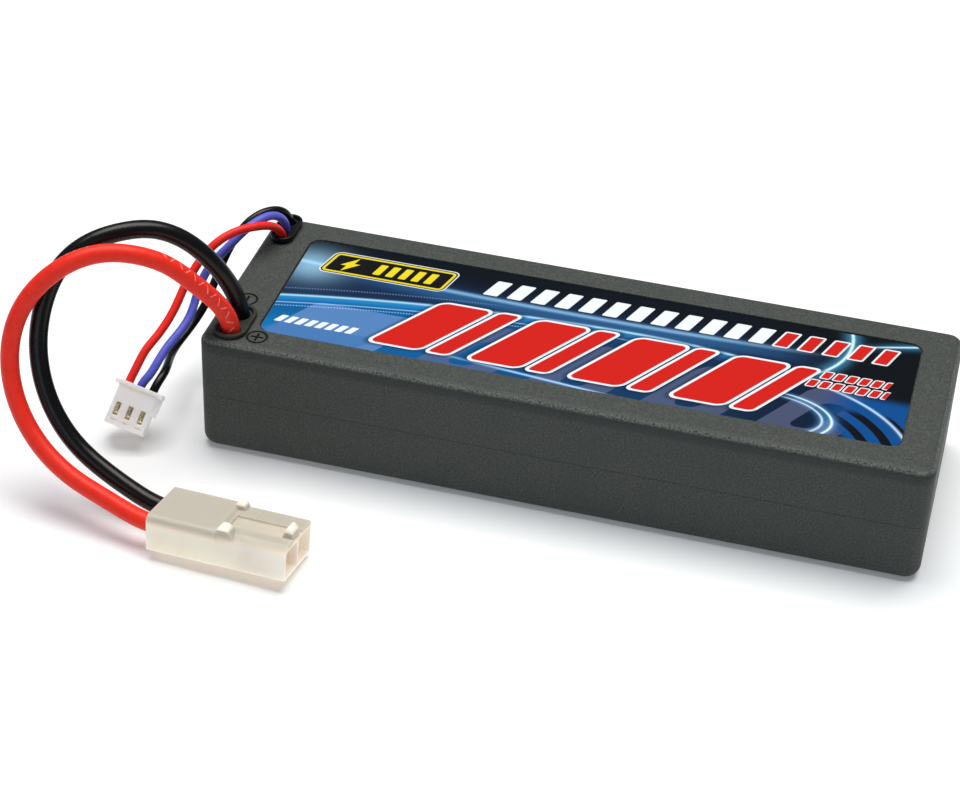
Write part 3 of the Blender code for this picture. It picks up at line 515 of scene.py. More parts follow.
def main_plug_painted_shade(look):
    """Painted shade: greyer nylon on the main plug's top, and in its two mating cavities."""
    across = own_coordinate(look, MAIN_PLUG_PLACE, "Y")
    above = own_coordinate(look, MAIN_PLUG_PLACE, "Z")
    # Painted shade over the top, from the shoulder up to just under the latch stops' tops.
    look.cover(above.ramp(4.9, 6.7) * above.ramp(7.9, 7.25), (168, 166, 152))
    # Painted shade inside the two mating cavities.
    cavity_y, cavity_half_width = 2.88, 2.68
    cavity_z, cavity_half_height = 3.15, 2.65
    side = abs(abs(across) - cavity_y) - cavity_half_width
    level = abs(above - cavity_z) - cavity_half_height
    look.cover(side.high(level).inside(0.1), (222, 214, 198))


def nylon_material(name, colour, shade, depth, roughness, glow, painted_shade_layer=None):
    """Milky moulded nylon; glow is the strength of a painted glow, an emission that stands in for the light
    coming through it from behind.
    """
    look = Look(
        name,
        colour,
        Subsurface_Weight=1.0,
        Subsurface_Radius=(1.0, 0.95, 0.86),
        Subsurface_Scale=depth,
        Subsurface_Anisotropy=0.3,
        # Painted glow: a warm emission in place of light shining through the nylon.
        Emission_Color=(1.0, 0.74, 0.62, 1.0),
        Emission_Strength=glow,
        Specular_IOR_Level=0.45,
    )
    cloud = look.noise(3.2, 3.0)
    grain = look.noise(0.25, 3.0, 0.6)
    look.cover(cloud.ramp(0.42, 0.72) * 0.8, shade)
    if painted_shade_layer:
        painted_shade_layer(look)
    return look.finish(cloud * 0.12 + grain * 0.1 + roughness, grain + cloud * 0.8, 0.02 * MM, 0.5)


def metal_material(name, colour, shade, roughness):
    """Drawn sheet metal with fine lines and a little tarnish."""
    look = Look(name, colour, Metallic=1.0)
    stretch = look.tree.nodes.new("ShaderNodeMapping")
    stretch.inputs["Scale"].default_value = (1.0, 9.0, 9.0)
    look.tree.links.new(look.place(), stretch.inputs["Vector"])
    lines = look.noise(0.9, 2.0, place=stretch.outputs[0])
    tarnish = look.noise(0.4, 3.0)
    look.cover(tarnish.ramp(0.42, 0.7), shade)
    return look.finish(lines * 0.25 + roughness, lines, 0.01 * MM, 0.5)


def filling_material(name, colour, shade, size, roughness, depth, metallic):
    """A material for a piece inside the case: two shades in blotches of one size."""
    look = Look(name, colour, Metallic=metallic)
    blotch = look.noise(size, 4.0, 0.6)
    look.cover(blotch.ramp(0.4, 0.65), shade)
    return look.finish(blotch * 0.2 + roughness, blotch, depth, 0.6)


def board_material():
    """Green solder mask with wide tinned pads in a row."""
    look = Look("board_look", (28, 96, 58))
    x, y, _ = (axis / MM for axis in look.coordinates())
    weave = look.noise(0.6, 3.0)
    pads_x, pad_pitch, pad_half_size, pad_radius = -60.5, 8.0, (4.6, 2.6), 0.8
    pad = rounded_box(x - pads_x, y.repeated(pad_pitch), pad_half_size, pad_radius).inside()
    look.cover(weave.ramp(0.4, 0.7) * 0.6, (38, 118, 70))
    look.cover(pad, (176, 178, 176))
    connect(look.tree, pad * 0.9, look.shader.inputs["Metallic"])
    return look.finish(weave * 0.2 + 0.3, pad + weave * 0.2, 0.04 * MM, 0.6)


# ---------------- label print


def label_ground(x, y, look):
    """Night blue above, bright blue below a long arch of light, and panels under the bars."""
    arch_x, arch_y, arch_bend, right_bend = 8.0, 4.1, -0.0017, -0.0021
    beside = x - arch_x
    right = beside.high(0.0)
    below = beside * beside * arch_bend + right * right * right_bend + arch_y - y
    sweep_x, sweep_y, sweep_bend = -2.5, 6.9, 0.0006
    beside = x - sweep_x
    over_sweep = y - beside * beside * sweep_bend - sweep_y

    look.cover(y.ramp(14.5, 3.0), (12, 34, 64))
    look.cover(x.ramp(20.0, 60.0) * y.ramp(2.0, 12.0), (1, 3, 8))
    look.light(distance_to(x, y * 1.2, (-58.5, 9.6)).glow(6.0), (128, 168, 194))
    look.light((over_sweep + 1.6).glow(2.0) * x.ramp(-62.0, -30.0) * x.ramp(50.0, 20.0), (28, 70, 108))
    look.light(over_sweep.glow(0.6) * x.ramp(54.0, 14.0), (112, 154, 190))
    look.cover(below.ramp(-0.2, 0.5), (0, 84, 140))
    look.cover(below.ramp(0.0, 0.5) * x.ramp(-34.0, 12.0), (6, 50, 88))
    look.cover(below.ramp(0.0, 0.5) * x.ramp(8.0, 42.0), (3, 24, 48))
    look.cover(x.ramp(34.0, 50.0) * y.ramp(-6.0, -1.0), (1, 4, 10))
    look.cover(below.ramp(3.0, 12.0) * x.ramp(-40.0, -62.0) * 0.7, (0, 118, 172))

    panel = slanted_box(x, y, (-46.6, -12.4), (11.0, 8.2), 1.4, slant=0.55)
    look.cover(panel.inside(0.08) * below.ramp(0.0, 0.3) * 0.8, (88, 128, 180))
    step = slanted_box(x, y, (-52.0, -17.2), (10.0, 4.4), 0.8, slant=0.9)
    look.cover(step.inside(0.08) * 0.7, (58, 108, 164))
    ghost = slanted_box(x, y, (-19.0, -11.0), (7.4, 9.2), 3.0, slant=0.6, pitch=21.5)
    hollow = slanted_box(x, y, (-19.36, -11.6), (2.4, 4.6), 1.6, slant=0.6, pitch=21.5)
    ghosts = ghost.inside(0.08) * (1.0 - hollow.inside(0.08)) * leaning(x, y, -11.0, 0.6).ramp(-30.0, -29.8)
    look.cover(ghosts * below.ramp(0.3, 0.6) * 0.6, (86, 94, 124))
    return below


def label_streaks(x, y, below, look):
    """Long thin lines of light beside the arch, arcs at the right, and dark swirls in the corner."""
    look.light(below.glow(0.34) * x.ramp(56.0, 30.0), (160, 200, 222))
    look.light((below - 0.9).glow(1.1) * x.ramp(46.0, 20.0) * 0.75, (30, 104, 156))
    look.light((below - 2.6).glow(0.16) * x.ramp(30.0, -10.0) * 0.8, (150, 190, 230))
    dots = x.repeated(0.55).glow(0.14)
    look.light((below - 3.7).glow(0.13) * dots * x.ramp(10.0, -20.0), (170, 205, 240))
    look.light((below + 2.6).glow(0.2) * dots * x.ramp(-10.0, -30.0) * 0.7, (110, 140, 190))
    low_line = y + x * 0.10 + 16.4
    look.light(low_line.glow(0.3) * x.ramp(-32.0, -10.0) * x.ramp(24.0, 0.0), (150, 196, 236))

    swirl_centre, swirl_pitch, band_half, rim_radius = (35.0, -30.0), 4.2, 0.95, 29.0
    swirl = distance_to(x, y * 1.25, swirl_centre)
    corner = x.ramp(43.0, 52.0) * swirl.ramp(17.0, 19.0) * y.ramp(-2.0, -5.0)
    look.cover(corner, (2, 70, 132))
    bands = abs(swirl.repeated(swirl_pitch)) - band_half
    look.cover(bands.inside(0.1) * corner * y.ramp(-7.0, -9.5), (2, 3, 8))
    look.light((swirl - rim_radius).glow(0.35) * x.ramp(40.0, 52.0), (170, 205, 240))

    bow_centre, bow_radius = (33.0, 13.0), 15.0
    bow = abs(distance_to(x, y, bow_centre) - bow_radius)
    look.light(bow.glow(1.5) * x.ramp(33.0, 44.0) * 0.5, (70, 150, 190))
    look.light(bow.glow(0.3) * x.ramp(36.0, 46.0), (200, 236, 246))
    branch = y - x * 0.31 + 2.4
    look.light(branch.glow(1.2) * x.ramp(47.0, 60.0) * 0.5, (60, 130, 170))
    look.light(branch.glow(0.25) * x.ramp(47.0, 56.0), (190, 230, 240))
    loop_centre = (36.0, -22.9)
    loop = distance_to(x, y * 1.7, loop_centre)
    for radius, strength in ((12.0, 1.0), (10.2, 0.7)):
        ring = abs(loop - radius)
        fade = x.ramp(32.0, 42.0) * strength
        look.light(ring.glow(0.9) * fade * 0.6, (80, 140, 190))
        look.light(ring.glow(0.24) * fade, (215, 238, 250))


def outlined(look, distance, fill, line, width, where=1.0):
    """A filled figure with a line of the width round it."""
    look.cover((distance - width).inside() * where, line)
    look.cover(distance.inside() * where, fill)


def label_figures(x, y, look):
    """The charge bars, the rows of dashes and the power sign, in place of the pack's wording."""
    red = (198, 26, 15)
    white = (226, 229, 231)
    yellow = (226, 202, 28)
    black = (10, 10, 9)

    bars_y, slant, pitch, half_height = -5.4, 0.6, 19.3, 8.3
    wide = slanted_box(x, y, (-30.1, bars_y), (4.9, half_height), 1.3, slant, pitch)
    narrow = slanted_box(x, y, (-21.6, bars_y), (1.9, half_height), 0.8, slant, pitch)
    bars = wide.low(narrow)
    row_centre, half_row = 1.7, 2 * pitch - 0.1
    row = (abs(leaning(x, y, bars_y, slant) - row_centre) - half_row).inside()
    look.cover((bars - 1.15).inside(0.5) * row * 0.55, (8, 22, 50))
    outlined(look, bars, red, white, 0.55, row)

    dashes_y, slant, dash_half_size, pitch = 11.0, 0.35, (1.45, 2.7), 4.75
    dash = slanted_box(x, y, (-21.3, dashes_y), dash_half_size, 0.3, slant, pitch)
    across = leaning(x, y, dashes_y, slant)
    white_row = across.between(-23.7, 33.3)
    look.cover((dash - 0.22).inside() * white_row * 0.8, (6, 8, 14))
    look.cover(dash.inside() * white_row, white)
    outlined(look, dash + 0.22, red, white, 0.38, across.between(33.2, 57.0))

    tick_half_size, pitch = (0.75, 1.1), 2.34
    for ticks_y, start, end in ((1.7, 44.9, 56.6), (-1.5, 42.6, 56.6)):
        tick = slanted_box(x, y, (start, ticks_y), tick_half_size, 0.2, slant, pitch)
        row = leaning(x, y, ticks_y, slant).between(start - 1.2, end + 0.1)
        outlined(look, tick, red, white, 0.25, row)

    small_y, slant, small_half_size, pitch = -11.6, 0.5, (0.66, 1.15), 2.0
    small = slanted_box(x, y, (-58.0, small_y), small_half_size, 0.2, slant, pitch)
    look.cover(small.inside() * leaning(x, y, small_y, slant).between(-59.1, -42.9), white)

    sign_y, slant = 10.3, 0.25
    plate = slanted_box(x, y, (-43.2, sign_y), (12.6, 3.7), 1.3, slant)
    outlined(look, plate, black, (220, 224, 224), 0.25)
    rim_depth, rim_half = 0.55, 0.25
    look.cover((abs(plate + rim_depth) - rim_half).inside(), yellow)
    charge = slanted_box(x, y, (-42.4, sign_y), (0.75, 1.9), 0.25, slant, pitch=2.6)
    look.cover(charge.inside() * leaning(x, y, sign_y, slant).between(-46.4, -33.2), yellow)
    bolt_x = -51.2
    half_bolt = [(1.3, 2.6), (-1.9, -0.5), (0.4, -0.5)]
    other_half = [(-px, -py) for px, py in half_bolt]
    halves = [convex_shape(x - bolt_x, y - sign_y, points) for points in (half_bolt, other_half)]
    look.cover(halves[0].low(halves[1]).inside(), yellow)


def label_material():
    """A glossy printed film. Its pattern's places are millimetres from the label's centre."""
    look = Look("label_look", (2, 6, 16), Specular_IOR_Level=0.16, Coat_Weight=0.06, Coat_Roughness=0.12)
    x, y, _ = (axis / MM for axis in look.coordinates())
    x = x - LABEL_CENTRE_X / MM
    below = label_ground(x, y, look)
    label_streaks(x, y, below, look)
    label_figures(x, y, look)
    ripple = look.noise(14.0, 2.0)
    film = look.noise(0.5, 2.0)
    return look.finish(film * 0.1 + 0.26, ripple + film * 0.02, 0.12 * MM, 0.5)


# ---------------- mesh tools


def add_object(name, data):
    """A new object in the scene."""
    thing = bpy.data.objects.new(name, data)
    bpy.context.scene.collection.objects.link(thing)
    return thing


def mesh_object(name, bm):
    """A new object made of a bmesh, with its faces pointing out."""
    bmesh.ops.recalc_face_normals(bm, faces=bm.faces)
    mesh = bpy.data.meshes.new(name)
    bm.to_mesh(mesh)
    bm.free()
    return add_object(name, mesh)


def add_piece(node, bm, material):
    """Turns a bmesh into a piece that rides on the pack in place of a CAD node."""
    piece = mesh_object(node + "_look", bm)
    piece.data.materials.append(material)
    piece.data.shade_smooth()
    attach(piece, BODY)
    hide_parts(node)
    return piece


def loft(rings, closed=False):
    """A solid through rings of equally many points: capped at both ends, or closed into a hoop."""
    bm = bmesh.new()
    loops = [[bm.verts.new(point) for point in ring] for ring in rings]
    following_loops = loops[1:] + loops[:1] if closed else loops[1:]
    for near, far in zip(loops, following_loops):
        for index in range(len(near)):
            following = (index + 1) % len(near)
            bm.faces.new((near[index], near[following], far[following], far[index]))
    if not closed:
        bm.faces.new(loops[0])
        bm.faces.new(loops[-1])
    return bm


def arc(centre, radius, start, turn, segments):
    """Points along an arc that starts at an angle and turns anticlockwise, in degrees."""
    angles = [math.radians(start + turn * step / segments) for step in range(segments + 1)]
    return [(centre[0] + radius * math.cos(a), centre[1] + radius * math.sin(a)) for a in angles]


def rounded_rectangle(length, width, radius, segments=CORNER_SEGMENTS):
    """Outline points of a rectangle with round corners, centred on the origin."""
    x = length / 2 - radius
    y = width / 2 - radius
    points = []
    for quarter, centre in enumerate(((x, y), (-x, y), (-x, -y), (x, -y))):
        points += arc(centre, radius, 90.0 * quarter, 90.0, segments)
    return points


def obround(centres_y, radius, x, segments=SLOT_SEGMENTS):
    """Outline points of a slot along Y that runs round the first and the last centre."""
    far_end = arc((x, centres_y[-1]), radius, 0.0, 180.0, segments)
    return far_end + arc((x, centres_y[0]), radius, 180.0, 180.0, segments)


def circle(radius, centre, segments=32):
    """Outline points of a circle."""
    return arc(centre, radius, 0.0, 360.0, segments)[:-1]


def at_height(outline, z):
    """A ring of the outline's points at one height."""
    return [(x, y, z) for x, y in outline]


def prism(outline, low_z, high_z):
    """The outline extruded from one height to another."""
    return loft([at_height(outline, low_z), at_height(outline, high_z)])


def tube(axis, radius, low, high, centre, segments):
    """A round bar along X or Y; centre is where it runs, across and up."""
    rings = []
    for end in (low, high):
        outline = circle(radius, centre, segments)
        rings.append([(end, side, z) if axis == "X" else (side, end, z) for side, z in outline])
    return loft(rings)


def block(corners, shift_x=0.0):
    """A box between two corners in millimetres, moved along X by metres."""
    low, high = (Vector(mm(*corner)) for corner in corners)
    bm = bmesh.new()
    bmesh.ops.create_cube(bm, size=1.0)
    bmesh.ops.scale(bm, vec=high - low, verts=bm.verts)
    bmesh.ops.translate(bm, vec=(high + low) / 2 + Vector((shift_x, 0.0, 0.0)), verts=bm.verts)
    return bm


def apply_modifiers(piece):
    """Makes a piece's modifiers part of its mesh."""
    graph = bpy.context.evaluated_depsgraph_get()
    mesh = bpy.data.meshes.new_from_object(piece.evaluated_get(graph))
    old = piece.data
    piece.modifiers.clear()
    piece.data = mesh
    bpy.data.meshes.remove(old)


def combine(piece, operation, *shapes):
    """Cuts shapes out of a piece, or adds them, in one Boolean."""
    whole = bmesh.new()
    for shape in shapes:
        mesh = bpy.data.meshes.new("shape")
        shape.to_mesh(mesh)
        shape.free()
        whole.from_mesh(mesh)
        bpy.data.meshes.remove(mesh)
    tool = mesh_object("tool", whole)
    modifier = piece.modifiers.new("combine", "BOOLEAN")
    modifier.operation = operation
    modifier.solver = "EXACT"
    modifier.object = tool
    apply_modifiers(piece)
    mesh = tool.data
    bpy.data.objects.remove(tool, do_unlink=True)
    bpy.data.meshes.remove(mesh)


def soften(piece, width, segments, angle):
    """Rounds the edges sharper than an angle and shades the piece smoothly, its flats kept flat."""
    weld = piece.modifiers.new("weld", "WELD")
    weld.merge_threshold = 0.002 * MM
    bevel = piece.modifiers.new("bevel", "BEVEL")
    bevel.width = width
    bevel.segments = segments
    bevel.limit_method = "ANGLE"
    bevel.angle_limit = math.radians(angle)
    bevel.miter_outer = "MITER_ARC"
    apply_modifiers(piece)
    piece.data.shade_smooth()
    piece.data.set_sharp_from_angle(angle=math.radians(50.0))
    weighted = piece.modifiers.new("weighted", "WEIGHTED_NORMAL")
    weighted.keep_sharp = True
    weighted.weight = 90
    apply_modifiers(piece)


# ---------------- case


def case_ring(inset, z):
    """The case's plan outline, drawn in by inset, at a height."""
    length = CASE_LENGTH - 2 * inset
    width = CASE_WIDTH - 2 * inset
    radius = max(CORNER_RADIUS - inset, SMALLEST_RADIUS)
    return at_height(rounded_rectangle(length, width, radius), z)


def rounded_edge(radius, inset, edge_z, direction):
    """Rings over a rounded edge, from the flat face at edge_z down or up to the wall."""
    rings = []
    for step in range(EDGE_SEGMENTS + 1):
        angle = math.radians(90.0 * step / EDGE_SEGMENTS)
        drawn_in = inset + radius * (1 - math.sin(angle))
        z = edge_z + direction * radius * (1 - math.cos(angle))
        rings.append(case_ring(drawn_in, z))
    return rings


def make_lower_shell(material):
    """The tray: round base edge, straight sides and the tongue inside the lid's lip."""
    tongue_top = SEAM_HEIGHT + TONGUE_HEIGHT
    tongue_inset = LIP_THICKNESS + LIP_GAP
    seam = SEAM_HEIGHT - SEAM_GAP / 2
    rings = rounded_edge(BOTTOM_EDGE_RADIUS, 0.0, 0.0, 1)
    rings += [case_ring(0.0, seam), case_ring(tongue_inset, seam)]
    rings += [case_ring(tongue_inset, tongue_top), case_ring(WALL, tongue_top)]
    rings += reversed(rounded_edge(INNER_EDGE_RADIUS, WALL, WALL, 1))
    shell = add_piece("lower_shell", loft(rings), material)
    soften(shell, 0.05 * MM, segments=2, angle=60.0)


def mark_shapes(centre, with_cross):
    """The cutters of one polarity mark: a ring, and inside it a bar or a cross."""
    bottom = CASE_HEIGHT - MARK_DEPTH
    top = CASE_HEIGHT + MARK_DEPTH
    inner = MARK_RADIUS - MARK_STROKE
    levels = ((MARK_RADIUS, bottom), (MARK_RADIUS, top), (inner, top), (inner, bottom))
    ring = [at_height(circle(radius, centre, MARK_SEGMENTS), z) for radius, z in levels]
    arm = MARK_BAR_LENGTH / 2
    half = MARK_STROKE / 2
    if with_cross:
        figure = [(half, half), (half, arm), (-half, arm), (-half, half), (-arm, half), (-arm, -half),
                  (-half, -half), (-half, -arm), (half, -arm), (half, -half), (arm, -half), (arm, half)]
    else:
        figure = [(half, -arm), (half, arm), (-half, arm), (-half, -arm)]
    outline = [(centre[0] + x, centre[1] + y) for x, y in figure]
    return [loft(ring, closed=True), prism(outline, bottom, top)]


def neck_radius(diameter):
    """Radius of a grommet's neck round a lead of this diameter."""
    return diameter / 2 + GROMMET_CLEARANCE + GROMMET_NECK_WALL


def label_outline(margin):
    """The label's outline, made wider all round by a margin."""
    length = LABEL_HIGH[0] - LABEL_LOW[0] + 2 * margin
    width = LABEL_HIGH[1] - LABEL_LOW[1] + 2 * margin
    outline = rounded_rectangle(length, width, LABEL_RADIUS + margin)
    return [(x + LABEL_CENTRE_X, y) for x, y in outline]


def make_upper_shell(material):
    """The lid, with the label's recess, the two lead slots and the polarity marks."""
    rebate_top = SEAM_HEIGHT + TONGUE_HEIGHT + LIP_GAP
    seam = SEAM_HEIGHT + SEAM_GAP / 2
    rings = rounded_edge(INNER_EDGE_RADIUS, WALL, CASE_HEIGHT - WALL, -1)
    rings += [case_ring(WALL, rebate_top), case_ring(LIP_THICKNESS, rebate_top)]
    rings += [case_ring(LIP_THICKNESS, seam), case_ring(0.0, seam)]
    rings += reversed(rounded_edge(TOP_EDGE_RADIUS, 0.0, CASE_HEIGHT, -1))
    shell = add_piece("upper_shell", loft(rings), material)

    past_top = CASE_HEIGHT + CUT_PAST
    recess = prism(label_outline(RECESS_MARGIN), CASE_HEIGHT - RECESS_DEPTH, past_top)
    combine(shell, "DIFFERENCE", recess)
    slots = []
    for x, holes_y, diameter in (
        (MAIN_OUTLET_X, MAIN_HOLES_Y, MAIN_LEAD_DIAMETER),
        (BALANCE_OUTLET_X, BALANCE_HOLES_Y, BALANCE_LEAD_DIAMETER),
    ):
        outline = obround(holes_y, neck_radius(diameter) + GROMMET_CLEARANCE, x)
        slots.append(prism(outline, GROMMET_BOTTOM - GROMMET_CLEARANCE, past_top))
    combine(shell, "DIFFERENCE", *slots)
    combine(shell, "DIFFERENCE", *mark_shapes(MINUS_CENTRE, False), *mark_shapes(PLUS_CENTRE, True))
    soften(shell, 0.08 * MM, segments=2, angle=60.0)


def make_label(material):
    """The film, with a soft cut edge."""
    film = prism(label_outline(0.0), LABEL_LOW[2], LABEL_HIGH[2])
    label = add_piece("label", film, material)
    soften(label, 0.04 * MM, segments=2, angle=60.0)


# ---------------- grommets


def make_grommet(name, x, holes_y, diameter, bead, material):
    """A rubber grommet with a thick round bead and a tight lip round each lead."""
    outer, height, thickness = bead
    top = CASE_HEIGHT + height
    inner = outer - thickness
    half = thickness / 2
    neck = neck_radius(diameter)
    underside = CASE_HEIGHT + COLLAR_GAP
    levels = [(neck, GROMMET_BOTTOM), (neck, underside), (outer - COLLAR_UNDERCUT, underside)]
    levels += arc((inner + half, top - half), half, 0.0, 180.0, BEAD_SEGMENTS)
    levels.append((inner - DISH_STEP, top - half - DISH_DEPTH))
    rings = [at_height(obround(holes_y, radius, x, GROMMET_SEGMENTS), z) for radius, z in levels]
    grommet = add_piece(name, loft(rings), material)
    holes = []
    for y in holes_y:
        outline = circle(diameter / 2 + GROMMET_HOLE_CLEARANCE, (x, y), GROMMET_HOLE_SEGMENTS)
        holes.append(prism(outline, GROMMET_BOTTOM - CUT_PAST, top))
    combine(grommet, "DIFFERENCE", *holes)
    soften(grommet, 0.1 * MM, segments=2, angle=40.0)


# ---------------- leads


def smooth_route(route, per_span):
    """Points on the natural cubic curve through the route's points."""
    knots = np.array(route)
    spans = np.linalg.norm(np.diff(knots, axis=0), axis=1)[:, None]
    slopes = np.diff(knots, axis=0) / spans
    system = np.eye(len(knots))
    target = np.zeros_like(knots)
    for index in range(1, len(knots) - 1):
        before = spans[index - 1, 0]
        after = spans[index, 0]
        system[index, index - 1:index + 2] = (before, 2 * (before + after), after)
        target[index] = 6 * (slopes[index] - slopes[index - 1])
    bends = np.linalg.solve(system, target)
    points = []
    for index, span in enumerate(spans[:, 0]):
        for part in range(per_span):
            after = part / per_span
            before = 1 - after
            straight = before * knots[index] + after * knots[index + 1]
            curve = (before**3 - before) * bends[index] + (after**3 - after) * bends[index + 1]
            points.append(straight + curve * span**2 / 6)
    points.append(knots[-1])
    return np.array(points)


def sweep(points, radius, sides):
    """A tube along the points. Its UV map runs along it in metres, and round it from 0 to 1."""
    tangents = np.gradient(points, axis=0)
    tangents /= np.linalg.norm(tangents, axis=1)[:, None]
    side = Vector((0.0, 1.0, 0.0))
    bm = bmesh.new()
    layer = bm.loops.layers.uv.new("UVMap")
    rings = []
    for point, tangent in zip(points, tangents):
        along = Vector(tangent)
        side = (side - along * side.dot(along)).normalized()
        other = along.cross(side)
        ring = []
        for step in range(sides):
            angle = 2 * math.pi * step / sides
            offset = side * math.cos(angle) + other * math.sin(angle)
            ring.append(bm.verts.new(Vector(point) + offset * radius))
        rings.append(ring)
    lengths = np.concatenate(([0.0], np.cumsum(np.linalg.norm(np.diff(points, axis=0), axis=1))))
    for row, (near, far) in enumerate(zip(rings, rings[1:])):
        for step in range(sides):
            following = (step + 1) % sides
            face = bm.faces.new((near[step], near[following], far[following], far[step]))
            corners = ((row, step), (row, step + 1), (row + 1, step + 1), (row + 1, step))
            for loop, (at, turn) in zip(face.loops, corners):
                loop[layer].uv = (lengths[at], turn / sides)
    bm.faces.new(rings[0])
    bm.faces.new(rings[-1])
    return bm


def make_lead(name, start, middle, plug_points, diameter, sides, material):
    """One lead from its grommet into its plug.

    start is where it leaves its grommet's lip, and middle its laid points, in millimetres."""
    exit_point = (start[0], start[1], LEAD_START_HEIGHT)
    route = [exit_point, start] + [mm(*point) for point in middle] + [tuple(point) for point in plug_points]
    points = smooth_route(route, ROUTE_POINTS_PER_SPAN)
    slot = name.split("_")[-1] + "_insulation"
    lead = add_piece(name, sweep(points, diameter / 2, sides), material)


def make_main_leads(materials):
    """The two thick leads."""
    rear = -MAIN_PLUG_LENGTH / 2
    straight = 0.5 * MM
    for colour, hole_y, side in zip(MAIN_COLOURS, MAIN_HOLES_Y, (-1, 1)):
        plug_points = []
        for x in (rear - straight, rear + MAIN_WIRE_DEPTH):
            plug_points.append(MAIN_PLUG_PLACE @ Vector((x, side * MAIN_PLUG_PITCH / 2, MAIN_PLUG_AXIS_Z)))
        make_lead("main_lead_" + colour, (MAIN_OUTLET_X, hole_y, MAIN_RELEASE_HEIGHT), MAIN_ROUTES[colour],
                  plug_points, MAIN_LEAD_DIAMETER, MAIN_LEAD_SIDES, materials[colour])


def make_balance_leads(materials):
    """The three thin leads."""
    end = BALANCE_PLUG_LENGTH
    straight = 1.0 * MM
    for colour, hole_y, place in zip(BALANCE_COLOURS, BALANCE_HOLES_Y, (-1, 0, 1)):
        plug_points = []
        for y in (end + straight, end - BALANCE_WIRE_DEPTH):
            plug_points.append(BALANCE_PLUG_PLACE @ Vector((place * BALANCE_PITCH, y, BALANCE_AXIS_Z)))
        make_lead("balance_lead_" + colour, (BALANCE_OUTLET_X, hole_y, BALANCE_RELEASE_HEIGHT),
                  BALANCE_ROUTES[colour], plug_points, BALANCE_LEAD_DIAMETER, BALANCE_LEAD_SIDES,
                  materials[colour])


# ---------------- main plug


def plug_section(x, width, height, shoulder, inset=0.0, edge=0.5 * MM, segments=6):
    """The main plug's cross-section at x; its front top edge has a radius of its own."""
    half = width / 2 - inset
    low = inset
    high = height - inset
    corners = [(half, high, edge, 0.0), (-half, high, shoulder, 90.0),
               (-half, low, edge, 180.0), (half, low, edge, 270.0)]
    points = []
    for y, z, radius, start in corners:
        centre = (y - math.copysign(radius, y), z - radius if z == high else z + radius)
        points += arc(centre, radius, start, 90.0, segments)
    return [(x, *point) for point in points]


def make_main_plug(material):
    """The nylon housing: wire holes behind, two mating cavities in front, a latch on top."""
    half = MAIN_PLUG_LENGTH / 2
    rear, front = MAIN_PLUG_REAR, MAIN_PLUG_FRONT
    rings = [
        plug_section(-half, *rear, inset=0.25 * MM),
        plug_section(-half + 0.08 * MM, *rear, inset=0.08 * MM),
        plug_section(-half + 0.25 * MM, *rear),
        plug_section(-0.3 * MM, *rear),
        plug_section(0.2 * MM, *front),
        plug_section(half - 0.2 * MM, *front),
        plug_section(half - 0.06 * MM, *front, inset=0.06 * MM),
        plug_section(half, *front, inset=0.2 * MM),
    ]
    housing = add_piece("main_plug_housing", loft(rings), material)
    combine(housing, "DIFFERENCE", block(LATCH_CHANNEL))
    for sides_y, outline in LATCH_STOPS:
        stop = [[mm(x, y, z) for x, z in outline] for y in sides_y]
        combine(housing, "UNION", loft(stop))

    width, height, _ = front
    cavity_width = (width - 3 * MAIN_PLUG_WALL) / 2
    cavity_height = height - LATCH_FLOOR_DEPTH - 2 * MAIN_PLUG_WALL
    cavity_z = MAIN_PLUG_WALL + cavity_height / 2
    outline = rounded_rectangle(cavity_width, cavity_height, MAIN_CAVITY_RADIUS, 6)
    cavities = []
    holes = []
    for side in (-1, 1):
        cavity_y = side * (MAIN_PLUG_WALL + cavity_width) / 2
        ends = (MAIN_CAVITY_START, half + CUT_PAST)
        cavities.append(loft([[(x, cavity_y + y, cavity_z + z) for y, z in outline] for x in ends]))
        wire = (side * MAIN_PLUG_PITCH / 2, MAIN_PLUG_AXIS_Z)
        holes.append(tube("X", MAIN_LEAD_DIAMETER / 2 + MAIN_WIRE_CLEARANCE, -half - CUT_PAST,
                          MAIN_WIRE_HOLE_END, wire, segments=28))
    combine(housing, "DIFFERENCE", *cavities)
    combine(housing, "DIFFERENCE", *holes)
    soften(housing, 0.14 * MM, segments=3, angle=38.0)
    housing.data.transform(MAIN_PLUG_PLACE)
    return housing


def make_main_contact(colour, side, material):
    """A rolled socket: crimp wings over the wire, a waist, and a split barrel with a flared mouth."""
    y = side * MAIN_PLUG_PITCH / 2
    start = (-MAIN_PLUG_LENGTH / 2 + MAIN_WIRE_DEPTH + CONTACT_GAP) / MM
    profile = [(start, 1.5), (start + 0.2, 1.62), (-6.2, 1.62), (-6.0, 1.25), (-5.4, 1.25), (-5.2, 1.55),
               (-3.2, 1.55), (-2.8, 1.0), (-0.8, 1.0), (-0.3, 1.38), (1.4, 1.4), (1.7, 1.28), (2.3, 1.28),
               (2.6, 1.4), (6.7, 1.4), (7.1, 1.48), (7.4, 1.44), (7.4, 1.2), (7.1, 1.05), (1.6, 1.0)]
    rings = []
    for x, radius in profile:
        outline = circle(radius * MM, (y, MAIN_PLUG_AXIS_Z))
        rings.append([(x * MM, *point) for point in outline])
    contact = add_piece("main_contact_" + colour, loft(rings), material)
    split_half = 0.12
    split_low = (2.9, y / MM - split_half, MAIN_PLUG_AXIS_Z / MM)
    combine(contact, "DIFFERENCE", block((split_low, (8.0, y / MM + split_half, 6.0))))
    soften(contact, 0.03 * MM, segments=2, angle=32.0)
    contact.data.transform(MAIN_PLUG_PLACE)
    return contact


# ---------------- balance plug


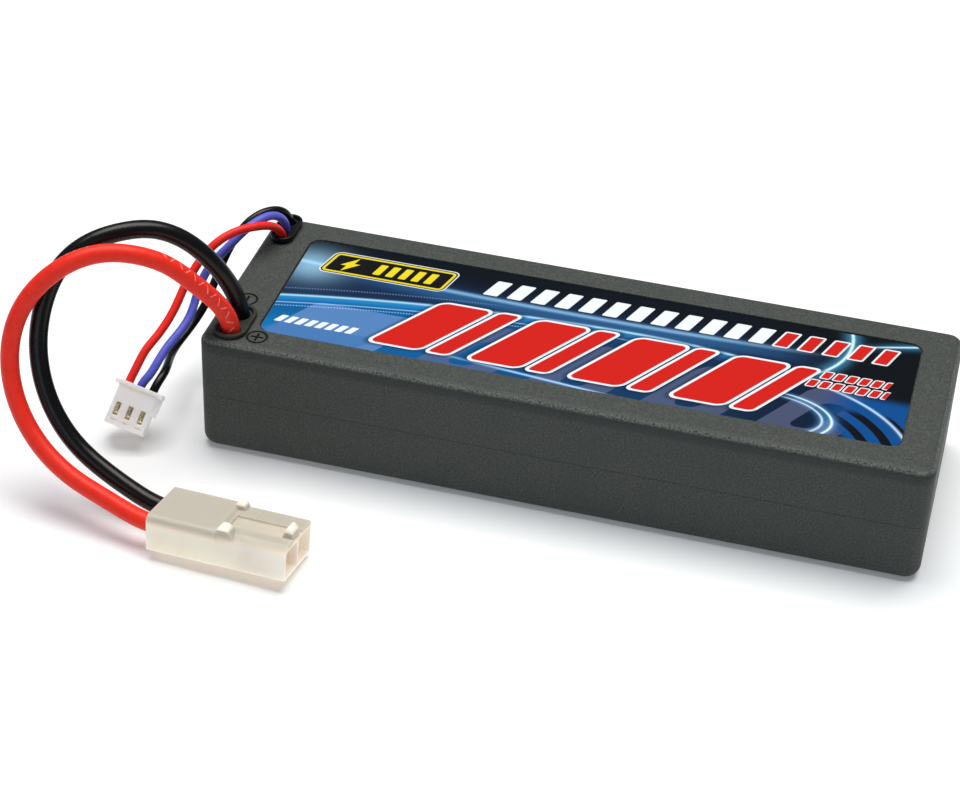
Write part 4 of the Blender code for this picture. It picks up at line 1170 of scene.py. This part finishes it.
def make_balance_plug(material):
    """The small white housing, with its flange, guide rib, windows and slits."""
    half = BALANCE_PLUG_WIDTH / 2 / MM
    length = BALANCE_PLUG_LENGTH
    body = block(((-half, 0.0, 0.0), (half, length / MM, BALANCE_PLUG_THICKNESS / MM)))
    housing = add_piece("balance_plug_housing", body, material)
    combine(housing, "UNION", block(BALANCE_FLANGE))
    combine(housing, "UNION", block(BALANCE_RIB))
    soften(housing, 0.22 * MM, segments=3, angle=38.0)

    cavities = []
    openings = []
    for place in (-1, 0, 1):
        x = place * BALANCE_PITCH
        cavities.append(block(BALANCE_CAVITY, x))
        openings += [block(corners, x) for corners in (BALANCE_WINDOW, BALANCE_SLIT, BALANCE_MOUTH)]
        openings.append(tube("Y", BALANCE_LEAD_DIAMETER / 2 + BALANCE_WIRE_CLEARANCE, BALANCE_WIRE_HOLE_START,
                             length + CUT_PAST, (x, BALANCE_AXIS_Z), segments=24))
    combine(housing, "DIFFERENCE", *cavities)
    combine(housing, "DIFFERENCE", *openings)
    soften(housing, 0.04 * MM, segments=2, angle=60.0)
    housing.data.transform(BALANCE_PLUG_PLACE)
    return housing


def make_balance_contact(colour, place, material):
    """A folded sheet contact: a box with a sprung tongue in its window, and crimp wings."""
    x = place * BALANCE_PITCH
    contact = add_piece("balance_contact_" + colour, block(BALANCE_CONTACT, x), material)
    crimp_end = BALANCE_PLUG_LENGTH - BALANCE_WIRE_DEPTH - CONTACT_GAP
    crimp = tube("Y", BALANCE_CRIMP_RADIUS, BALANCE_CRIMP_START, crimp_end, (x, BALANCE_AXIS_Z), segments=16)
    sides = (x - BALANCE_TONGUE_HALF, x + BALANCE_TONGUE_HALF)
    tongue = loft([[(side, y * MM, z * MM) for y, z in BALANCE_TONGUE] for side in sides])
    for shape in (block(BALANCE_CONTACT_NECK, x), crimp, tongue):
        combine(contact, "UNION", shape)
    combine(contact, "DIFFERENCE", block(BALANCE_CONTACT_SLIT, x))
    soften(contact, 0.04 * MM, segments=2, angle=32.0)
    contact.data.transform(BALANCE_PLUG_PLACE)
    return contact


# ---------------- inside the case


def dress_filling(metal, leads):
    """Gives every piece inside the case its own look."""
    for name, (nodes, *look) in FILLINGS.items():
        material = filling_material(name, *look)
        for node in nodes:
            dress(node, material)
    dress("solder_board", board_material())
    for cell in ("lower_cell", "upper_cell"):
        for pole in ("minus", "plus"):
            dress(f"{cell}_{pole}_tab", metal)
    for kind, colours in (("main", MAIN_COLOURS), ("balance", BALANCE_COLOURS)):
        for colour in colours:
            dress(f"{kind}_tail_{colour}", leads[colour])


def dress(node, material):
    """Gives a CAD node another material."""
    for slot in NODES[node].material_slots:
        slot.material = material


# ---------------- stage


def make_floor():
    """A wide white table, just under the pack."""
    side, corner, thickness, gap = 2.4, 0.3, 4.0 * MM, 0.02 * MM
    floor = mesh_object("floor", prism(rounded_rectangle(side, side, corner, 8), -thickness, -gap))
    look = Look("floor_look", Base_Color=(0.88, 0.88, 0.88, 1.0), Roughness=0.6, Specular_IOR_Level=0.2,
                Emission_Color=(1.0, 0.985, 0.96, 1.0), Emission_Strength=0.12)
    floor.data.materials.append(look.material)


def add_light(name, place, target, size, power, colour):
    """A rectangular soft light at a place, turned to a target."""
    data = bpy.data.lights.new(name, "AREA")
    data.shape = "RECTANGLE"
    data.size, data.size_y = size
    data.energy = power
    data.color = colour
    light = add_object(name, data)
    light.location = place
    light.rotation_euler = (Vector(target) - Vector(place)).to_track_quat("-Z", "Y").to_euler()


def make_lights():
    """One large soft box overhead in a dim room, and a faint cool light in front."""
    add_light("soft_box", place=(-0.02, 0.22, 1.1), target=(0.0, 0.05, 0.0), size=(1.1, 0.75),
              power=17.0, colour=(1.0, 0.995, 0.97))
    add_light("front_fill", place=(-0.1, -1.1, 0.5), target=(0.0, 0.0, 0.0), size=(0.9, 0.4),
              power=1.6, colour=(0.6, 0.8, 1.0))
    world = bpy.data.worlds.new("studio")
    world.use_nodes = True
    background = world.node_tree.nodes["Background"]
    background.inputs["Color"].default_value = (0.68, 0.82, 1.0, 1.0)
    background.inputs["Strength"].default_value = 0.2
    bpy.context.scene.world = world


def make_camera():
    """The photograph's viewpoint."""
    data = bpy.data.cameras.new("camera")
    data.sensor_width = 36.0
    data.lens = 93.59
    data.clip_end = 10.0
    camera = add_object("camera", data)
    place = mm(75.013, -385.034, 291.555)
    right = Vector((0.96432683, 0.26261001, 0.03331276))
    down = Vector((0.17981058, -0.55746701, -0.81049287))
    forward = Vector((-0.19427278, 0.78757001, -0.58480045))
    turn = Matrix((right, -down, -forward)).transposed()
    camera.matrix_world = Matrix.Translation(place) @ turn.to_4x4()
    bpy.context.scene.camera = camera
    bpy.context.scene.view_settings.view_transform = "Standard"


# ---------------- the whole scene


def main():
    """Builds every piece, the stage and the camera."""
    case = case_material()
    warm_rubber = rubber_material("main_grommet_look", (46, 46, 42), (66, 64, 58), 0.5)
    black_rubber = rubber_material("balance_grommet_look", (10, 10, 11), (20, 20, 21), 0.3)
    contact_metal = metal_material("contact_look", (226, 214, 178), (150, 134, 98), 0.4)
    tab_metal = metal_material("tab_look", (190, 188, 180), (160, 158, 150), 0.3)
    # Both nylons glow a little by emission, a painted glow; the ivory one also gets painted shade on the main
    # plug's top and in its cavities.
    ivory = nylon_material("ivory_nylon_look", (255, 241, 217), (250, 233, 206), depth=3.0 * MM,
                           roughness=0.34, glow=0.15, painted_shade_layer=main_plug_painted_shade)
    white = nylon_material("white_nylon_look", (253, 252, 243), (246, 246, 234), depth=1.2 * MM,
                           roughness=0.3, glow=0.08)
    main_materials = {
        "red": lead_material("main_red_look", (240, 46, 28), (230, 34, 22), 0.36, ticks=(246, 170, 158)),
        "black": lead_material("main_black_look", (12, 12, 13), (17, 17, 18), 0.18),
    }
    balance_materials = {
        "red": lead_material("balance_red_look", (240, 44, 34), (230, 34, 28), 0.34),
        "blue": lead_material("balance_blue_look", (94, 100, 204), (80, 86, 188), 0.3),
        "black": lead_material("balance_black_look", (12, 12, 13), (17, 17, 18), 0.2),
    }

    make_camera()
    main_pieces = {"housing": make_main_plug(ivory)}
    for colour, side in zip(MAIN_COLOURS, (-1, 1)):
        main_pieces[colour] = make_main_contact(colour, side, contact_metal)
    make_main_leads(main_materials)
    balance_pieces = {"housing": make_balance_plug(white)}
    for colour, place in zip(BALANCE_COLOURS, (-1, 0, 1)):
        balance_pieces[colour] = make_balance_contact(colour, place, contact_metal)
    make_balance_leads(balance_materials)

    make_lower_shell(case)
    make_upper_shell(case)
    make_label(label_material())
    make_grommet("main_lead_grommet", MAIN_OUTLET_X, MAIN_HOLES_Y, MAIN_LEAD_DIAMETER, MAIN_BEAD, warm_rubber)
    make_grommet("balance_lead_grommet", BALANCE_OUTLET_X, BALANCE_HOLES_Y, BALANCE_LEAD_DIAMETER,
                 BALANCE_BEAD, black_rubber)
    dress_filling(tab_metal, balance_materials)
    make_floor()
    make_lights()


main()
